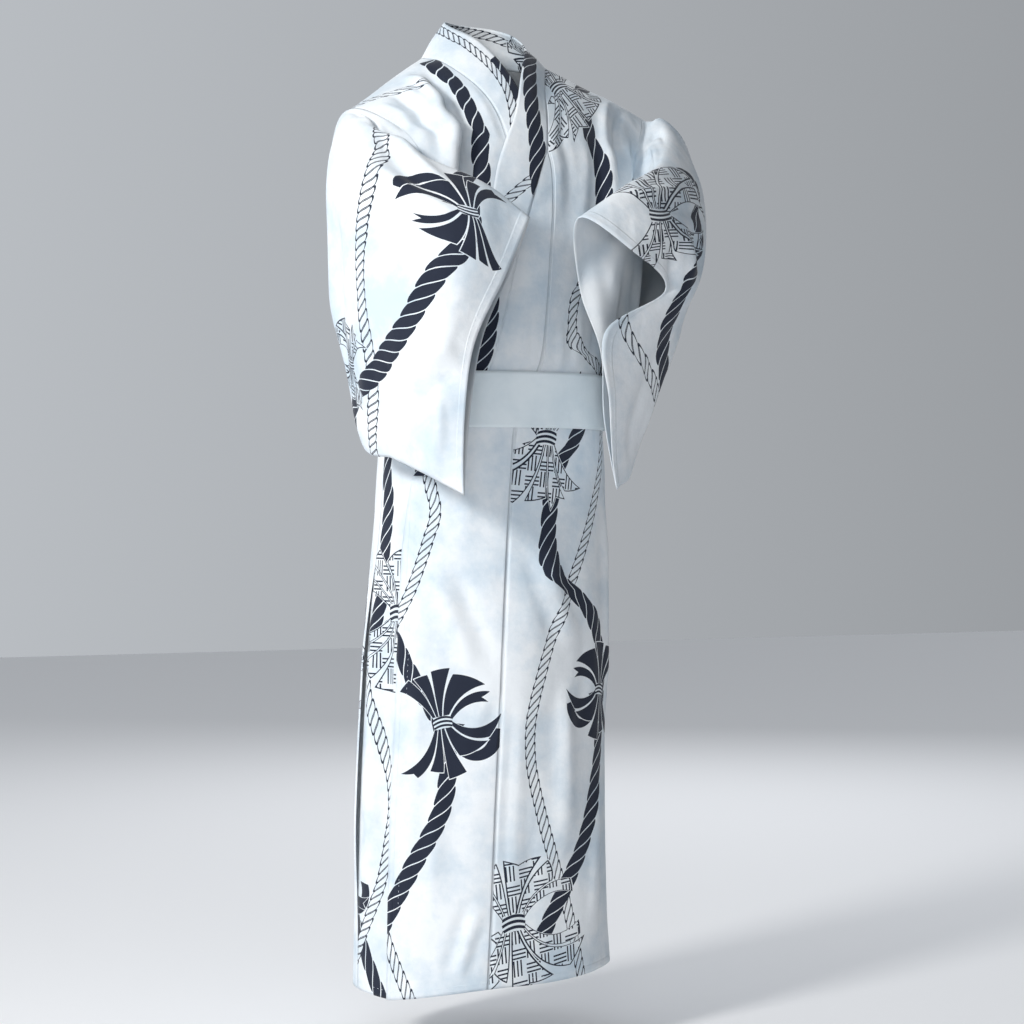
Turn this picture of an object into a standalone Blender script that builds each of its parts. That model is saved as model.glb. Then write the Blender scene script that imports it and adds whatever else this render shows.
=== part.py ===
# Worn cotton yukata with its own belt, hollow, arms crossed in front.
# Metres, +Z up. The wearer faces -Y and their left side is +X.
# The origin lies on the shoulder line, midway between the shoulders.

import math
import bpy
from mathutils import Vector

for old in list(bpy.data.objects):
    bpy.data.objects.remove(old, do_unlink=True)

# Cloth sizes
CLOTH = 0.0015
COLLAR_CLOTH = 0.0024
OBI_CLOTH = 0.0025
HALF_GAP = 0.00016
SEAM_INSET = 0.0006
FRONT_LIFT = 0.0023
OBI_LIFT = 0.0054
ARMHOLE_FOOT = -0.440
COLLAR_END = -0.600
OBI_TOP = -0.455
OBI_FOOT = -0.533
FULLNESS = 0.94
RIGHT_SHIFT = 5.0
UNDER_HEM_RAISE = 0.010
SLEEVE_FLARE = 0.009

# Grid sizes
BODY_COLUMNS = 12
OKUMI_COLUMNS = 3
EDGE_COLUMNS = 2
COLLAR_COLUMNS = 3
UPPER_STEPS = 2
SLEEVE_STEPS = 3

# Torso form: height, half width, front depth, back depth, shift in X, shift in Y
TORSO = (
    (-1.340, 0.188, 0.146, 0.146, -0.006, 0.005),
    (-1.040, 0.183, 0.142, 0.144, -0.005, 0.003),
    (-0.900, 0.179, 0.139, 0.142, -0.003, 0.000),
    (-0.750, 0.174, 0.136, 0.140, 0.000, -0.003),
    (-0.650, 0.169, 0.132, 0.137, 0.003, -0.005),
    (-0.560, 0.164, 0.129, 0.132, 0.004, -0.005),
    (-0.495, 0.160, 0.127, 0.128, 0.004, -0.004),
    (-0.430, 0.164, 0.130, 0.129, 0.004, -0.003),
    (-0.350, 0.171, 0.134, 0.130, 0.003, -0.002),
    (-0.280, 0.176, 0.135, 0.130, 0.002, 0.000),
    (-0.200, 0.180, 0.131, 0.127, 0.000, 0.000),
    (-0.130, 0.182, 0.121, 0.120, 0.000, 0.000),
    (-0.080, 0.182, 0.106, 0.108, 0.000, 0.000),
)

# Left front seams in degrees from the front middle: height, okumi seam, collar seam, free edge
FRONT_SEAMS = (
    (-1.340, -15.5, -45.0, -65.5),
    (-1.115, -12.8, -45.0, -65.5),
    (-0.900, -10.8, -44.0, -64.5),
    (-0.680, -9.6, -44.0, -65.5),
    (-0.600, -8.4, -40.0, -61.0),
    (-0.536, -6.8, -31.5, -51.5),
    (-0.490, -1.5, -24.0, -46.0),
    (-0.440, 5.5, -17.5, -40.5),
    (-0.370, 8.2, -11.0, -31.5),
    (-0.300, 9.8, -5.5, -24.0),
    (-0.230, 12.0, 1.0, -16.5),
    (-0.172, 12.4, 6.8, -12.0),
    (-0.140, 10.5, 10.5, -8.4),
)

# Hem height of the outer layer: degrees from the front middle, height
HEM = (
    (-180.0, -1.312),
    (-135.0, -1.316),
    (-92.0, -1.319),
    (-65.0, -1.325),
    (-58.0, -1.323),
    (-16.0, -1.307),
    (11.0, -1.304),
    (45.0, -1.298),
    (90.0, -1.300),
    (135.0, -1.307),
    (180.0, -1.312),
)

# Skirt folds: degrees at top, degrees at foot, top height, foot height, half width, rise
SKIRT_FOLDS = (
    (12.0, -3.0, -0.560, -0.960, 9.0, 0.0045),
    (-26.0, -34.0, -0.640, -1.250, 12.0, -0.0040),
    (38.0, 30.0, -0.620, -1.360, 13.0, 0.0040),
    (66.0, 70.0, -0.570, -1.300, 12.0, -0.0050),
    (-95.0, -88.0, -0.640, -1.380, 14.0, 0.0050),
    (-126.0, -120.0, -0.570, -1.340, 13.0, -0.0055),
    (-152.0, -158.0, -0.600, -1.380, 12.0, 0.0050),
    (112.0, 108.0, -0.580, -1.380, 14.0, 0.0050),
    (142.0, 150.0, -0.560, -1.330, 13.0, -0.0050),
)

# Heights of the skirt's sections from the hem up; the first is the hem itself
SKIRT_LEVELS = (None, -1.200, -1.060, -0.920, -0.790, -0.690, -0.600, -0.536, -0.490, -0.440)

# Left chest and shoulder: section, seam, chest, pleat, fold, armhole
# A seam given as a height lies on the front seams; a chest or pleat given in degrees
# lies on the torso form at that height
LEFT_UPPER = (
    ("waist", -0.370, 32.0, 48.0, (0.153, -0.082, -0.372), (0.173, -0.058, -0.375)),
    ("rib", -0.300, 29.0, 43.0, (0.146, -0.113, -0.300), (0.166, -0.102, -0.305)),
    ("breast", -0.230, 28.0, 40.0, (0.142, -0.122, -0.224), (0.168, -0.108, -0.228)),
    ("armpit", -0.172, (0.088, -0.119, -0.166), (0.120, -0.108, -0.160), (0.150, -0.107, -0.158),
     (0.186, -0.086, -0.170)),
    ("point", -0.140, (0.088, -0.111, -0.122), (0.125, -0.099, -0.120), (0.162, -0.092, -0.122),
     (0.206, -0.069, -0.132)),
    ("yoke", (0.043, -0.106, -0.097), (0.092, -0.092, -0.082), (0.132, -0.080, -0.084),
     (0.172, -0.070, -0.090), (0.222, -0.052, -0.104)),
    ("slope", (0.055, -0.074, -0.050), (0.100, -0.062, -0.045), (0.140, -0.054, -0.053),
     (0.182, -0.046, -0.062), (0.234, -0.036, -0.082)),
    ("front_ridge", (0.075, -0.034, -0.012), (0.112, -0.028, -0.023), (0.150, -0.024, -0.036),
     (0.190, -0.020, -0.048), (0.241, -0.016, -0.069)),
    ("ridge", (0.092, 0.008, -0.012), (0.122, 0.008, -0.018), (0.158, 0.008, -0.032),
     (0.196, 0.008, -0.048), (0.244, 0.008, -0.073)),
    ("back_ridge", (0.078, 0.046, -0.004), (0.115, 0.040, -0.021), (0.153, 0.035, -0.038),
     (0.194, 0.030, -0.060), (0.243, 0.026, -0.094)),
    ("nape", (0.042, 0.073, 0.004), (0.098, 0.066, -0.030), (0.142, 0.061, -0.052),
     (0.188, 0.051, -0.082), (0.241, 0.036, -0.130)),
    ("neck_middle", (0.000, 0.083, 0.006), (0.084, 0.092, -0.062), (0.132, 0.086, -0.090),
     (0.184, 0.070, -0.125), (0.238, 0.040, -0.180)),
    ("blade", (0.000, 0.112, -0.080), (0.080, 0.112, -0.135), (0.130, 0.104, -0.160),
     (0.180, 0.082, -0.190), (0.233, 0.040, -0.240)),
    ("mid_back", (0.000, 0.126, -0.180), (0.080, 0.122, -0.215), (0.128, 0.110, -0.235),
     (0.176, 0.083, -0.260), (0.224, 0.034, -0.300)),
    ("low_back", (0.000, 0.130, -0.280), (0.080, 0.123, -0.295), (0.124, 0.108, -0.308),
     (0.166, 0.076, -0.330), (0.208, 0.022, -0.360)),
    ("small_back", (0.000, 0.129, -0.370), (0.076, 0.120, -0.375), (0.118, 0.099, -0.380),
     (0.152, 0.062, -0.388), (0.187, 0.010, -0.402)),
)

# Right chest and shoulder, the same columns
RIGHT_UPPER = (
    ("waist", -0.370, -30.0, -44.0, (-0.142, -0.089, -0.372), (-0.165, -0.062, -0.375)),
    ("rib", -0.300, -26.0, -38.0, (-0.120, -0.120, -0.300), (-0.146, -0.106, -0.305)),
    ("breast", -0.230, (-0.066, -0.124, -0.228), (-0.091, -0.109, -0.226), (-0.108, -0.131, -0.224),
     (-0.136, -0.117, -0.228)),
    ("armpit", -0.172, (-0.064, -0.119, -0.166), (-0.092, -0.102, -0.160), (-0.110, -0.127, -0.158),
     (-0.145, -0.112, -0.170)),
    ("point", -0.140, (-0.062, -0.111, -0.122), (-0.094, -0.095, -0.120), (-0.112, -0.117, -0.122),
     (-0.160, -0.098, -0.135)),
    ("yoke", (-0.033, -0.110, -0.094), (-0.075, -0.090, -0.080), (-0.100, -0.079, -0.080),
     (-0.116, -0.094, -0.082), (-0.182, -0.076, -0.112)),
    ("slope", (-0.052, -0.086, -0.056), (-0.090, -0.064, -0.046), (-0.108, -0.058, -0.047),
     (-0.128, -0.063, -0.052), (-0.202, -0.053, -0.096)),
    ("front_ridge", (-0.082, -0.040, -0.018), (-0.108, -0.030, -0.021), (-0.132, -0.027, -0.034),
     (-0.160, -0.026, -0.053), (-0.213, -0.022, -0.088)),
    ("ridge", (-0.094, 0.008, -0.003), (-0.118, 0.008, -0.018), (-0.143, 0.008, -0.036),
     (-0.174, 0.008, -0.060), (-0.217, 0.008, -0.094)),
    ("back_ridge", (-0.080, 0.046, 0.001), (-0.112, 0.040, -0.021), (-0.144, 0.035, -0.044),
     (-0.180, 0.030, -0.074), (-0.219, 0.027, -0.115)),
    ("nape", (-0.043, 0.073, 0.005), (-0.096, 0.067, -0.030), (-0.136, 0.062, -0.056),
     (-0.178, 0.052, -0.092), (-0.221, 0.038, -0.148)),
    ("neck_middle", (0.000, 0.083, 0.006), (-0.083, 0.092, -0.062), (-0.128, 0.086, -0.092),
     (-0.175, 0.071, -0.130), (-0.222, 0.043, -0.192)),
    ("blade", (0.000, 0.112, -0.080), (-0.080, 0.112, -0.135), (-0.127, 0.104, -0.160),
     (-0.174, 0.084, -0.195), (-0.221, 0.044, -0.250)),
    ("mid_back", (0.000, 0.126, -0.180), (-0.080, 0.122, -0.215), (-0.126, 0.110, -0.235),
     (-0.171, 0.084, -0.262), (-0.215, 0.039, -0.305)),
    ("low_back", (0.000, 0.130, -0.280), (-0.080, 0.123, -0.295), (-0.122, 0.108, -0.308),
     (-0.162, 0.077, -0.330), (-0.201, 0.026, -0.360)),
    ("small_back", (0.000, 0.129, -0.370), (-0.074, 0.120, -0.375), (-0.114, 0.100, -0.380),
     (-0.147, 0.063, -0.388), (-0.180, 0.011, -0.402)),
)

# Free edge of the collar where it leaves the chest: section, left edge, right edge
COLLAR_EDGE = (
    ("yoke", (-0.010, -0.1145, -0.095), (0.014, -0.1095, -0.078)),
    ("slope", (0.012, -0.089, -0.034), (-0.012, -0.081, -0.022)),
    ("front_ridge", (0.036, -0.050, 0.002), (-0.033, -0.043, 0.018)),
    ("ridge", (0.055, -0.006, 0.024), (-0.056, 0.002, 0.043)),
    ("back_ridge", (0.051, 0.028, 0.045), (-0.053, 0.030, 0.056)),
    ("nape", (0.030, 0.050, 0.056), (-0.030, 0.051, 0.059)),
    ("neck_middle", (0.000, 0.059, 0.059), (0.000, 0.059, 0.059)),
)

# Right sleeve sections: section, bottom, inner low, inner middle, inner high, top,
# outer high, outer middle, outer low
RIGHT_SLEEVE = (
    ("upper_arm", (-0.207, -0.050, -0.558), (-0.190, -0.086, -0.440), (-0.172, -0.126, -0.320),
     (-0.152, -0.140, -0.215), (-0.214, -0.076, -0.118), (-0.251, -0.046, -0.160),
     (-0.246, -0.040, -0.290), (-0.236, -0.036, -0.430)),
    ("elbow", (-0.194, -0.118, -0.577), (-0.158, -0.145, -0.460), (-0.122, -0.170, -0.330),
     (-0.113, -0.158, -0.240), (-0.166, -0.142, -0.165), (-0.232, -0.128, -0.200),
     (-0.238, -0.132, -0.310), (-0.223, -0.128, -0.450)),
    ("forearm", (-0.171, -0.180, -0.600), (-0.136, -0.172, -0.480), (-0.092, -0.180, -0.365),
     (-0.070, -0.172, -0.275), (-0.092, -0.190, -0.205), (-0.138, -0.232, -0.262),
     (-0.176, -0.228, -0.378), (-0.180, -0.206, -0.500)),
    ("cuff", (-0.134, -0.222, -0.628), (-0.118, -0.205, -0.520), (-0.096, -0.198, -0.415),
     (-0.046, -0.188, -0.315), (-0.036, -0.220, -0.253), (-0.080, -0.239, -0.333),
     (-0.127, -0.240, -0.428), (-0.137, -0.230, -0.530)),
)

# Left sleeve sections: section, bottom, inner low, inner middle, inner high, top,
# forearm high, forearm low, mouth, hanging high, hanging low
LEFT_SLEEVE = (
    ("upper_arm", (0.196, -0.044, -0.512), (0.186, -0.096, -0.420), (0.180, -0.134, -0.320),
     (0.188, -0.130, -0.205), (0.262, -0.052, -0.084), (0.306, -0.052, -0.148),
     (0.292, -0.048, -0.270), (0.258, -0.044, -0.360), (0.236, -0.040, -0.420),
     (0.212, -0.040, -0.474)),
    ("elbow", (0.174, -0.110, -0.560), (0.134, -0.158, -0.440), (0.118, -0.186, -0.345),
     (0.142, -0.186, -0.240), (0.214, -0.136, -0.150), (0.280, -0.124, -0.190),
     (0.285, -0.130, -0.275), (0.244, -0.130, -0.370), (0.212, -0.125, -0.450),
     (0.190, -0.120, -0.515)),
    ("forearm", (0.140, -0.168, -0.598), (0.104, -0.195, -0.450), (0.082, -0.205, -0.355),
     (0.074, -0.208, -0.280), (0.112, -0.218, -0.200), (0.176, -0.232, -0.246),
     (0.228, -0.206, -0.318), (0.186, -0.206, -0.400), (0.162, -0.196, -0.478),
     (0.146, -0.184, -0.548)),
    ("cuff", (0.106, -0.200, -0.619), (0.082, -0.208, -0.520), (0.078, -0.206, -0.430),
     (0.048, -0.202, -0.345), (0.022, -0.248, -0.254), (0.091, -0.271, -0.296),
     (0.171, -0.222, -0.342), (0.063, -0.250, -0.405), (0.077, -0.234, -0.500),
     (0.092, -0.214, -0.575)),
)


def along(keys, values, key):
    """Smooth value of a table's column at a key."""
    if key <= keys[0]:
        return values[0]
    if key >= keys[-1]:
        return values[-1]
    i = max(j for j in range(len(keys) - 1) if keys[j] <= key)
    span = keys[i + 1] - keys[i]
    s = (key - keys[i]) / span

    def slope(j):
        a = max(j - 1, 0)
        b = min(j + 1, len(keys) - 1)
        return (values[b] - values[a]) / (keys[b] - keys[a]) * span

    return (
        (2 * s**3 - 3 * s**2 + 1) * values[i]
        + (s**3 - 2 * s**2 + s) * slope(i)
        + (3 * s**2 - 2 * s**3) * values[i + 1]
        + (s**3 - s**2) * slope(i + 1)
    )


def column(table, index, key):
    return along([row[0] for row in table], [row[index] for row in table], key)


def fold_rise(angle, z):
    """Height of the skirt's soft folds above the torso form."""
    rise = 0.0
    for top_angle, foot_angle, top, foot, width, height in SKIRT_FOLDS:
        s = (top - z) / (top - foot)
        if 0.0 < s < 1.0:
            middle = top_angle + (foot_angle - top_angle) * s
            off = (angle - middle + 180.0) % 360.0 - 180.0
            fade = min(1.0, s / 0.3, (1.0 - s) / 0.12)
            rise += height * math.exp(-((off / width) ** 2)) * math.sin(fade * math.pi / 2) ** 2
    return rise


def torso_point(z, angle, lift):
    """Point on the torso form, in degrees from the front middle towards the left."""
    lift += fold_rise(angle, z)
    wide = column(TORSO, 1, z) + lift
    front = column(TORSO, 2, z) + lift
    back = column(TORSO, 3, z) + lift
    s = math.sin(math.radians(angle))
    c = math.cos(math.radians(angle))
    deep = front if c > 0.0 else back
    return Vector((
        column(TORSO, 4, z) + wide * math.copysign(abs(s) ** FULLNESS, s),
        column(TORSO, 5, z) - deep * math.copysign(abs(c) ** FULLNESS, c),
        z,
    ))


def hem_height(angle):
    return column(HEM, 1, (angle + 180.0) % 360.0 - 180.0)


def spline(points, t, closed=False):
    """Point on a smooth curve through the points, t from 0 to 1."""
    n = len(points)
    spans = n if closed else n - 1
    x = min(max(t, 0.0), 1.0) * spans
    i = min(int(x), spans - 1)
    s = x - i

    def at(j):
        if closed:
            return points[j % n]
        if j < 0:
            return points[0] * 2.0 - points[1]
        if j >= n:
            return points[-1] * 2.0 - points[-2]
        return points[j]

    a, b, c, d = at(i - 1), at(i), at(i + 1), at(i + 2)
    return 0.5 * (
        2.0 * b
        + (c - a) * s
        + (2.0 * a - 5.0 * b + 4.0 * c - d) * s**2
        + (3.0 * b - a - 3.0 * c + d) * s**3
    )


def even(points, count):
    """Points evenly spaced along a smooth curve through the guides."""
    fine = [spline(points, k / 80.0) for k in range(81)]
    run = [0.0]
    for a, b in zip(fine, fine[1:]):
        run.append(run[-1] + (b - a).length)
    result = []
    k = 0
    for j in range(count + 1):
        want = run[-1] * j / count
        while k < 79 and run[k + 1] < want:
            k += 1
        share = (want - run[k]) / max(run[k + 1] - run[k], 1e-9)
        result.append(fine[k].lerp(fine[k + 1], min(max(share, 0.0), 1.0)))
    return result


def loft_line(points, steps, breaks):
    """One lengthwise line through the sections, with corners at the breaks."""
    cuts = [0] + sorted(breaks) + [len(points) - 1]
    line = []
    for first, last in zip(cuts, cuts[1:]):
        part = points[first:last + 1]
        spans = len(part) - 1
        for i in range(spans):
            for k in range(steps[first + i]):
                line.append(spline(part, (i + k / steps[first + i]) / spans))
    line.append(points[-1].copy())
    return line


def loft(rows, steps, breaks=None):
    """Rows of points in between the given sections."""
    breaks = breaks or {}
    count = len(rows[0])
    lines = []
    for j in range(count):
        cut = breaks.get(j, breaks.get(j - count, []))
        lines.append(loft_line([row[j] for row in rows], steps, cut))
    return [[line[i] for line in lines] for i in range(len(lines[0]))]


def move_edge(points, neighbours, distance):
    """Draw a row of points in towards its neighbours."""
    for i, (p, q) in enumerate(zip(points, neighbours)):
        way = q - p
        if way.length > 1e-9:
            points[i] = p + way.normalized() * min(distance, way.length * 0.4)
    return points


def inset_columns(grid, inner, outer):
    """Draw the first and last column of each row in by a seam's share."""
    for i, row in enumerate(grid):
        first = row[0]
        last = row[-1]
        a = inner(i) if callable(inner) else inner
        b = outer(i) if callable(outer) else outer
        way = row[1] - first
        if a and way.length > 1e-9:
            row[0] = first + way.normalized() * min(a, way.length * 0.4)
        way = row[-2] - last
        if b and way.length > 1e-9:
            row[-1] = last + way.normalized() * min(b, way.length * 0.4)


def cloth_object(name, grid, thickness, colour, closed=False, skip=None):
    """Solid cloth with its middle surface on the grid."""
    width = len(grid[0])
    used = {}
    points = []
    faces = []

    def vertex(i, j):
        key = (i, j % width if closed else j)
        if key not in used:
            used[key] = len(points)
            points.append(grid[key[0]][key[1]])
        return used[key]

    for i in range(len(grid) - 1):
        for j in range(width if closed else width - 1):
            if skip and skip(i, j):
                continue
            faces.append((vertex(i, j), vertex(i, j + 1), vertex(i + 1, j + 1), vertex(i + 1, j)))
    mesh = bpy.data.meshes.new(name)
    mesh.from_pydata([tuple(p) for p in points], [], faces)
    mesh.validate()
    item = bpy.data.objects.new(name, mesh)
    bpy.context.scene.collection.objects.link(item)
    wall = item.modifiers.new("cloth_wall", "SOLIDIFY")
    wall.thickness = thickness
    wall.offset = 0.0
    wall.use_even_offset = False
    wall.use_rim = True
    material = bpy.data.materials.new(name + "_cloth")
    material.use_nodes = True
    shader = material.node_tree.nodes["Principled BSDF"]
    shader.inputs["Base Color"].default_value = colour
    shader.inputs["Roughness"].default_value = 0.85
    mesh.materials.append(material)
    for face in mesh.polygons:
        face.use_smooth = True
    return item


COTTON = (0.86, 0.88, 0.90, 1.0)
BELT_BLUE = (0.72, 0.82, 0.86, 1.0)


# Places of the front seams on either side
def seam_angle(side, index, z):
    angle = column(FRONT_SEAMS, index, z)
    return angle if side > 0 else RIGHT_SHIFT - angle


def front_lift(side, angle):
    """The left front lies out over the right one; both meet the back at rest."""
    toward = max(0.0, math.cos(math.radians(angle)))
    reach = min(1.0, toward / 0.35)
    smooth = reach * reach * (3.0 - 2.0 * reach)
    return side * FRONT_LIFT * smooth


def overlap_lift(side, angle):
    """Past the front middle the overlap keeps its whole lift."""
    crossing = angle * side < 0.0
    return side * FRONT_LIFT if crossing else front_lift(side, angle)


def front_point(side, z, angle):
    return torso_point(z, angle, overlap_lift(side, angle))


def front_level(side, level, angle):
    """Height of a skirt section at an angle; the hem follows its own line."""
    if level is not None:
        return level
    hem = hem_height(angle)
    if side < 0:
        under = min(1.0, max(0.0, (angle + 66.0) / 20.0))
        hem += UNDER_HEM_RAISE * under
    return hem


def skirt_front_row(side, level, start, end, count):
    row = []
    for j in range(count + 1):
        angle = start + (end - start) * j / count
        row.append(front_point(side, front_level(side, level, angle), angle))
    return row


def skirt_back_row(side, level, count):
    row = []
    for j in range(count + 1):
        angle = side * (180.0 - 90.0 * j / count)
        z = hem_height(angle) if level is None else level
        row.append(torso_point(z, angle, 0.0))
    return row


def upper_seam(side, entry):
    """The inner end of an upper section, on the okumi seam or the collar seam."""
    if isinstance(entry, float):
        return front_point(side, entry, seam_angle(side, 1, entry))
    return Vector(entry)


# Neckline share of the front lift, so that the fronts part where they cross
NECK_LIFTS = {"yoke": 1.0, "slope": 0.55, "front_ridge": 0.15}


def lifted(side, name, point):
    """Move a neckline point out or in by its share of the front lift."""
    share = NECK_LIFTS.get(name, 0.0)
    out = Vector((point[0], point[1] - 0.02, 0.02)).normalized()
    return Vector(point) + out * side * FRONT_LIFT * share


def body_rows(side, table):
    rows = []
    for level in SKIRT_LEVELS:
        z = -1.325 if level is None else level
        start = seam_angle(side, 1, z)
        rows.append(skirt_front_row(side, level, start, side * 90.0, BODY_COLUMNS))
    for entry in table:
        guides = [lifted(side, entry[0], upper_seam(side, entry[1]))]
        for place in entry[2:]:
            on_form = isinstance(place, float)
            guides.append(front_point(side, entry[1], place) if on_form else Vector(place))
        rows.append(even(guides, BODY_COLUMNS))
    for level in reversed(SKIRT_LEVELS):
        rows.append(skirt_back_row(side, level, BODY_COLUMNS))
    return rows


SKIRT_SPANS = len(SKIRT_LEVELS) - 1
UPPER_NAMES = [entry[0] for entry in LEFT_UPPER]
FOOT_FRONT = SKIRT_SPANS
NECK_MIDDLE = SKIRT_SPANS + 1 + UPPER_NAMES.index("neck_middle")
POINT_ROW = SKIRT_SPANS + 1 + UPPER_NAMES.index("point")
FOOT_BACK = SKIRT_SPANS + 1 + len(UPPER_NAMES)
STEPS = [1] * SKIRT_SPANS + [UPPER_STEPS] * (len(UPPER_NAMES) + 1) + [1] * SKIRT_SPANS
FOOT_FRONT_FINE = FOOT_FRONT
FOOT_BACK_FINE = FOOT_FRONT + UPPER_STEPS * (len(UPPER_NAMES) + 1)
NECK_MIDDLE_FINE = FOOT_FRONT + UPPER_STEPS * (NECK_MIDDLE - FOOT_FRONT)


def body_grid(side, table):
    breaks = {0: [POINT_ROW, NECK_MIDDLE], -1: [FOOT_FRONT, FOOT_BACK]}
    return loft(body_rows(side, table), STEPS, breaks)


def armhole_loop(grid):
    """The armhole's edge from its foot up the front, over and down the back."""
    return [row[-1].copy() for row in grid[FOOT_FRONT_FINE:FOOT_BACK_FINE + 1]]


def armhole_flare(grid):
    """The first of the sleeve's cloth goes on the way the body's cloth runs."""
    line = []
    for row in grid[FOOT_FRONT_FINE:FOOT_BACK_FINE + 1]:
        line.append(row[-1] + (row[-1] - row[-2]).normalized() * SLEEVE_FLARE)
    for i in (0, -1):
        foot = grid[FOOT_FRONT_FINE][-1]
        out = Vector((math.copysign(1.0, foot.x), 0.0, -0.25)).normalized()
        line[i] = foot + out * SLEEVE_FLARE
    return line


# Body panels
left_grid = body_grid(1, LEFT_UPPER)
right_grid = body_grid(-1, RIGHT_UPPER)
left_armhole = [armhole_loop(left_grid), armhole_flare(left_grid)]
right_armhole = [armhole_loop(right_grid), armhole_flare(right_grid)]
for grid in (left_grid, right_grid):
    def outer_inset(i):
        return HALF_GAP if i < FOOT_FRONT_FINE or i > FOOT_BACK_FINE else SEAM_INSET

    def inner_inset(i):
        upper = i > FOOT_FRONT_FINE and i <= NECK_MIDDLE_FINE
        return SEAM_INSET if upper else HALF_GAP

    inset_columns(grid, inner_inset, outer_inset)
cloth_object("body_left", left_grid, CLOTH, COTTON)
cloth_object("body_right", right_grid, CLOTH, COTTON)


# Okumi panels, from the hem to the point where the collar seam meets the body
def okumi_grid(side, table):
    rows = []
    levels = list(SKIRT_LEVELS) + [entry[1] for entry in table[:UPPER_NAMES.index("point") + 1]]
    for level in levels:
        z = -1.325 if level is None else level
        seam = seam_angle(side, 1, z)
        collar = seam_angle(side, 2, z)
        edge = seam_angle(side, 3, z)
        angles = [seam + (collar - seam) * j / OKUMI_COLUMNS for j in range(OKUMI_COLUMNS + 1)]
        angles += [collar + (edge - collar) * (j + 1) / EDGE_COLUMNS for j in range(EDGE_COLUMNS)]
        rows.append([front_point(side, front_level(side, level, a), a) for a in angles])
    steps = [1] * SKIRT_SPANS + [UPPER_STEPS] * (len(rows) - 1 - SKIRT_SPANS)
    return loft(rows, steps)


END_ROW = SKIRT_LEVELS.index(COLLAR_END)
for side, table, name in ((1, LEFT_UPPER, "okumi_left"), (-1, RIGHT_UPPER, "okumi_right")):
    grid = okumi_grid(side, table)
    tip = len(grid) - 1
    # the point is cut off blunt, just below where its two seams meet
    grid[tip] = [p.lerp(q, 0.35) for p, q in zip(grid[tip], grid[tip - 1])]
    for i, row in enumerate(grid):
        way = row[1] - row[0]
        row[0] = row[0] + way.normalized() * min(HALF_GAP, way.length * 0.3)
        if i > END_ROW:
            way = row[OKUMI_COLUMNS - 1] - row[OKUMI_COLUMNS]
            row[OKUMI_COLUMNS] = row[OKUMI_COLUMNS] + way.normalized() * min(
                SEAM_INSET, way.length * 0.3)
    for j in range(OKUMI_COLUMNS + 1, OKUMI_COLUMNS + EDGE_COLUMNS + 1):
        grid[END_ROW][j] = grid[END_ROW][j] + Vector((0.0, 0.0, -HALF_GAP * 2.0))
    cloth_object(name, grid, CLOTH, COTTON,
                 skip=lambda i, j: i >= END_ROW and j >= OKUMI_COLUMNS)


# Collar, one band from the right end, round the neck, to the left end
def collar_rows(side, table):
    rows = []
    for level in [z for z in SKIRT_LEVELS if z is not None and z >= COLLAR_END] + [
            entry[1] for entry in table[:UPPER_NAMES.index("point") + 1]]:
        seam = seam_angle(side, 2, level)
        edge = seam_angle(side, 3, level)
        row = []
        for j in range(COLLAR_COLUMNS + 1):
            row.append(front_point(side, level, seam + (edge - seam) * j / COLLAR_COLUMNS))
        rows.append(row)
    first = UPPER_NAMES.index("yoke")
    for entry, free in zip(table[first:], COLLAR_EDGE):
        seam = lifted(side, entry[0], entry[1])
        edge = lifted(side, entry[0], free[1 if side > 0 else 2])
        middle = (seam + edge) * 0.5
        bulge = Vector((middle.x, middle.y - 0.01, 0.04)).normalized() * 0.0025
        rows.append(even([seam, middle + bulge, edge], COLLAR_COLUMNS))
    return rows


COLLAR_SPANS = SKIRT_SPANS - END_ROW
POINT_IN_COLLAR = COLLAR_SPANS + 1 + UPPER_NAMES.index("point")
COLLAR_STEPS = [1] * COLLAR_SPANS
COLLAR_STEPS += [UPPER_STEPS] * (1 + UPPER_NAMES.index("neck_middle"))
left_band = loft(collar_rows(1, LEFT_UPPER), COLLAR_STEPS, {0: [POINT_IN_COLLAR]})
right_band = loft(collar_rows(-1, RIGHT_UPPER), COLLAR_STEPS, {0: [POINT_IN_COLLAR]})
collar_grid = right_band + left_band[-2::-1]
inset_columns(collar_grid, HALF_GAP, 0.0)
for row in (collar_grid[0], collar_grid[-1]):
    for j, p in enumerate(row):
        row[j] = p + Vector((0.0, 0.0, HALF_GAP))
cloth_object("collar", collar_grid, COLLAR_CLOTH, COTTON)


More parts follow.
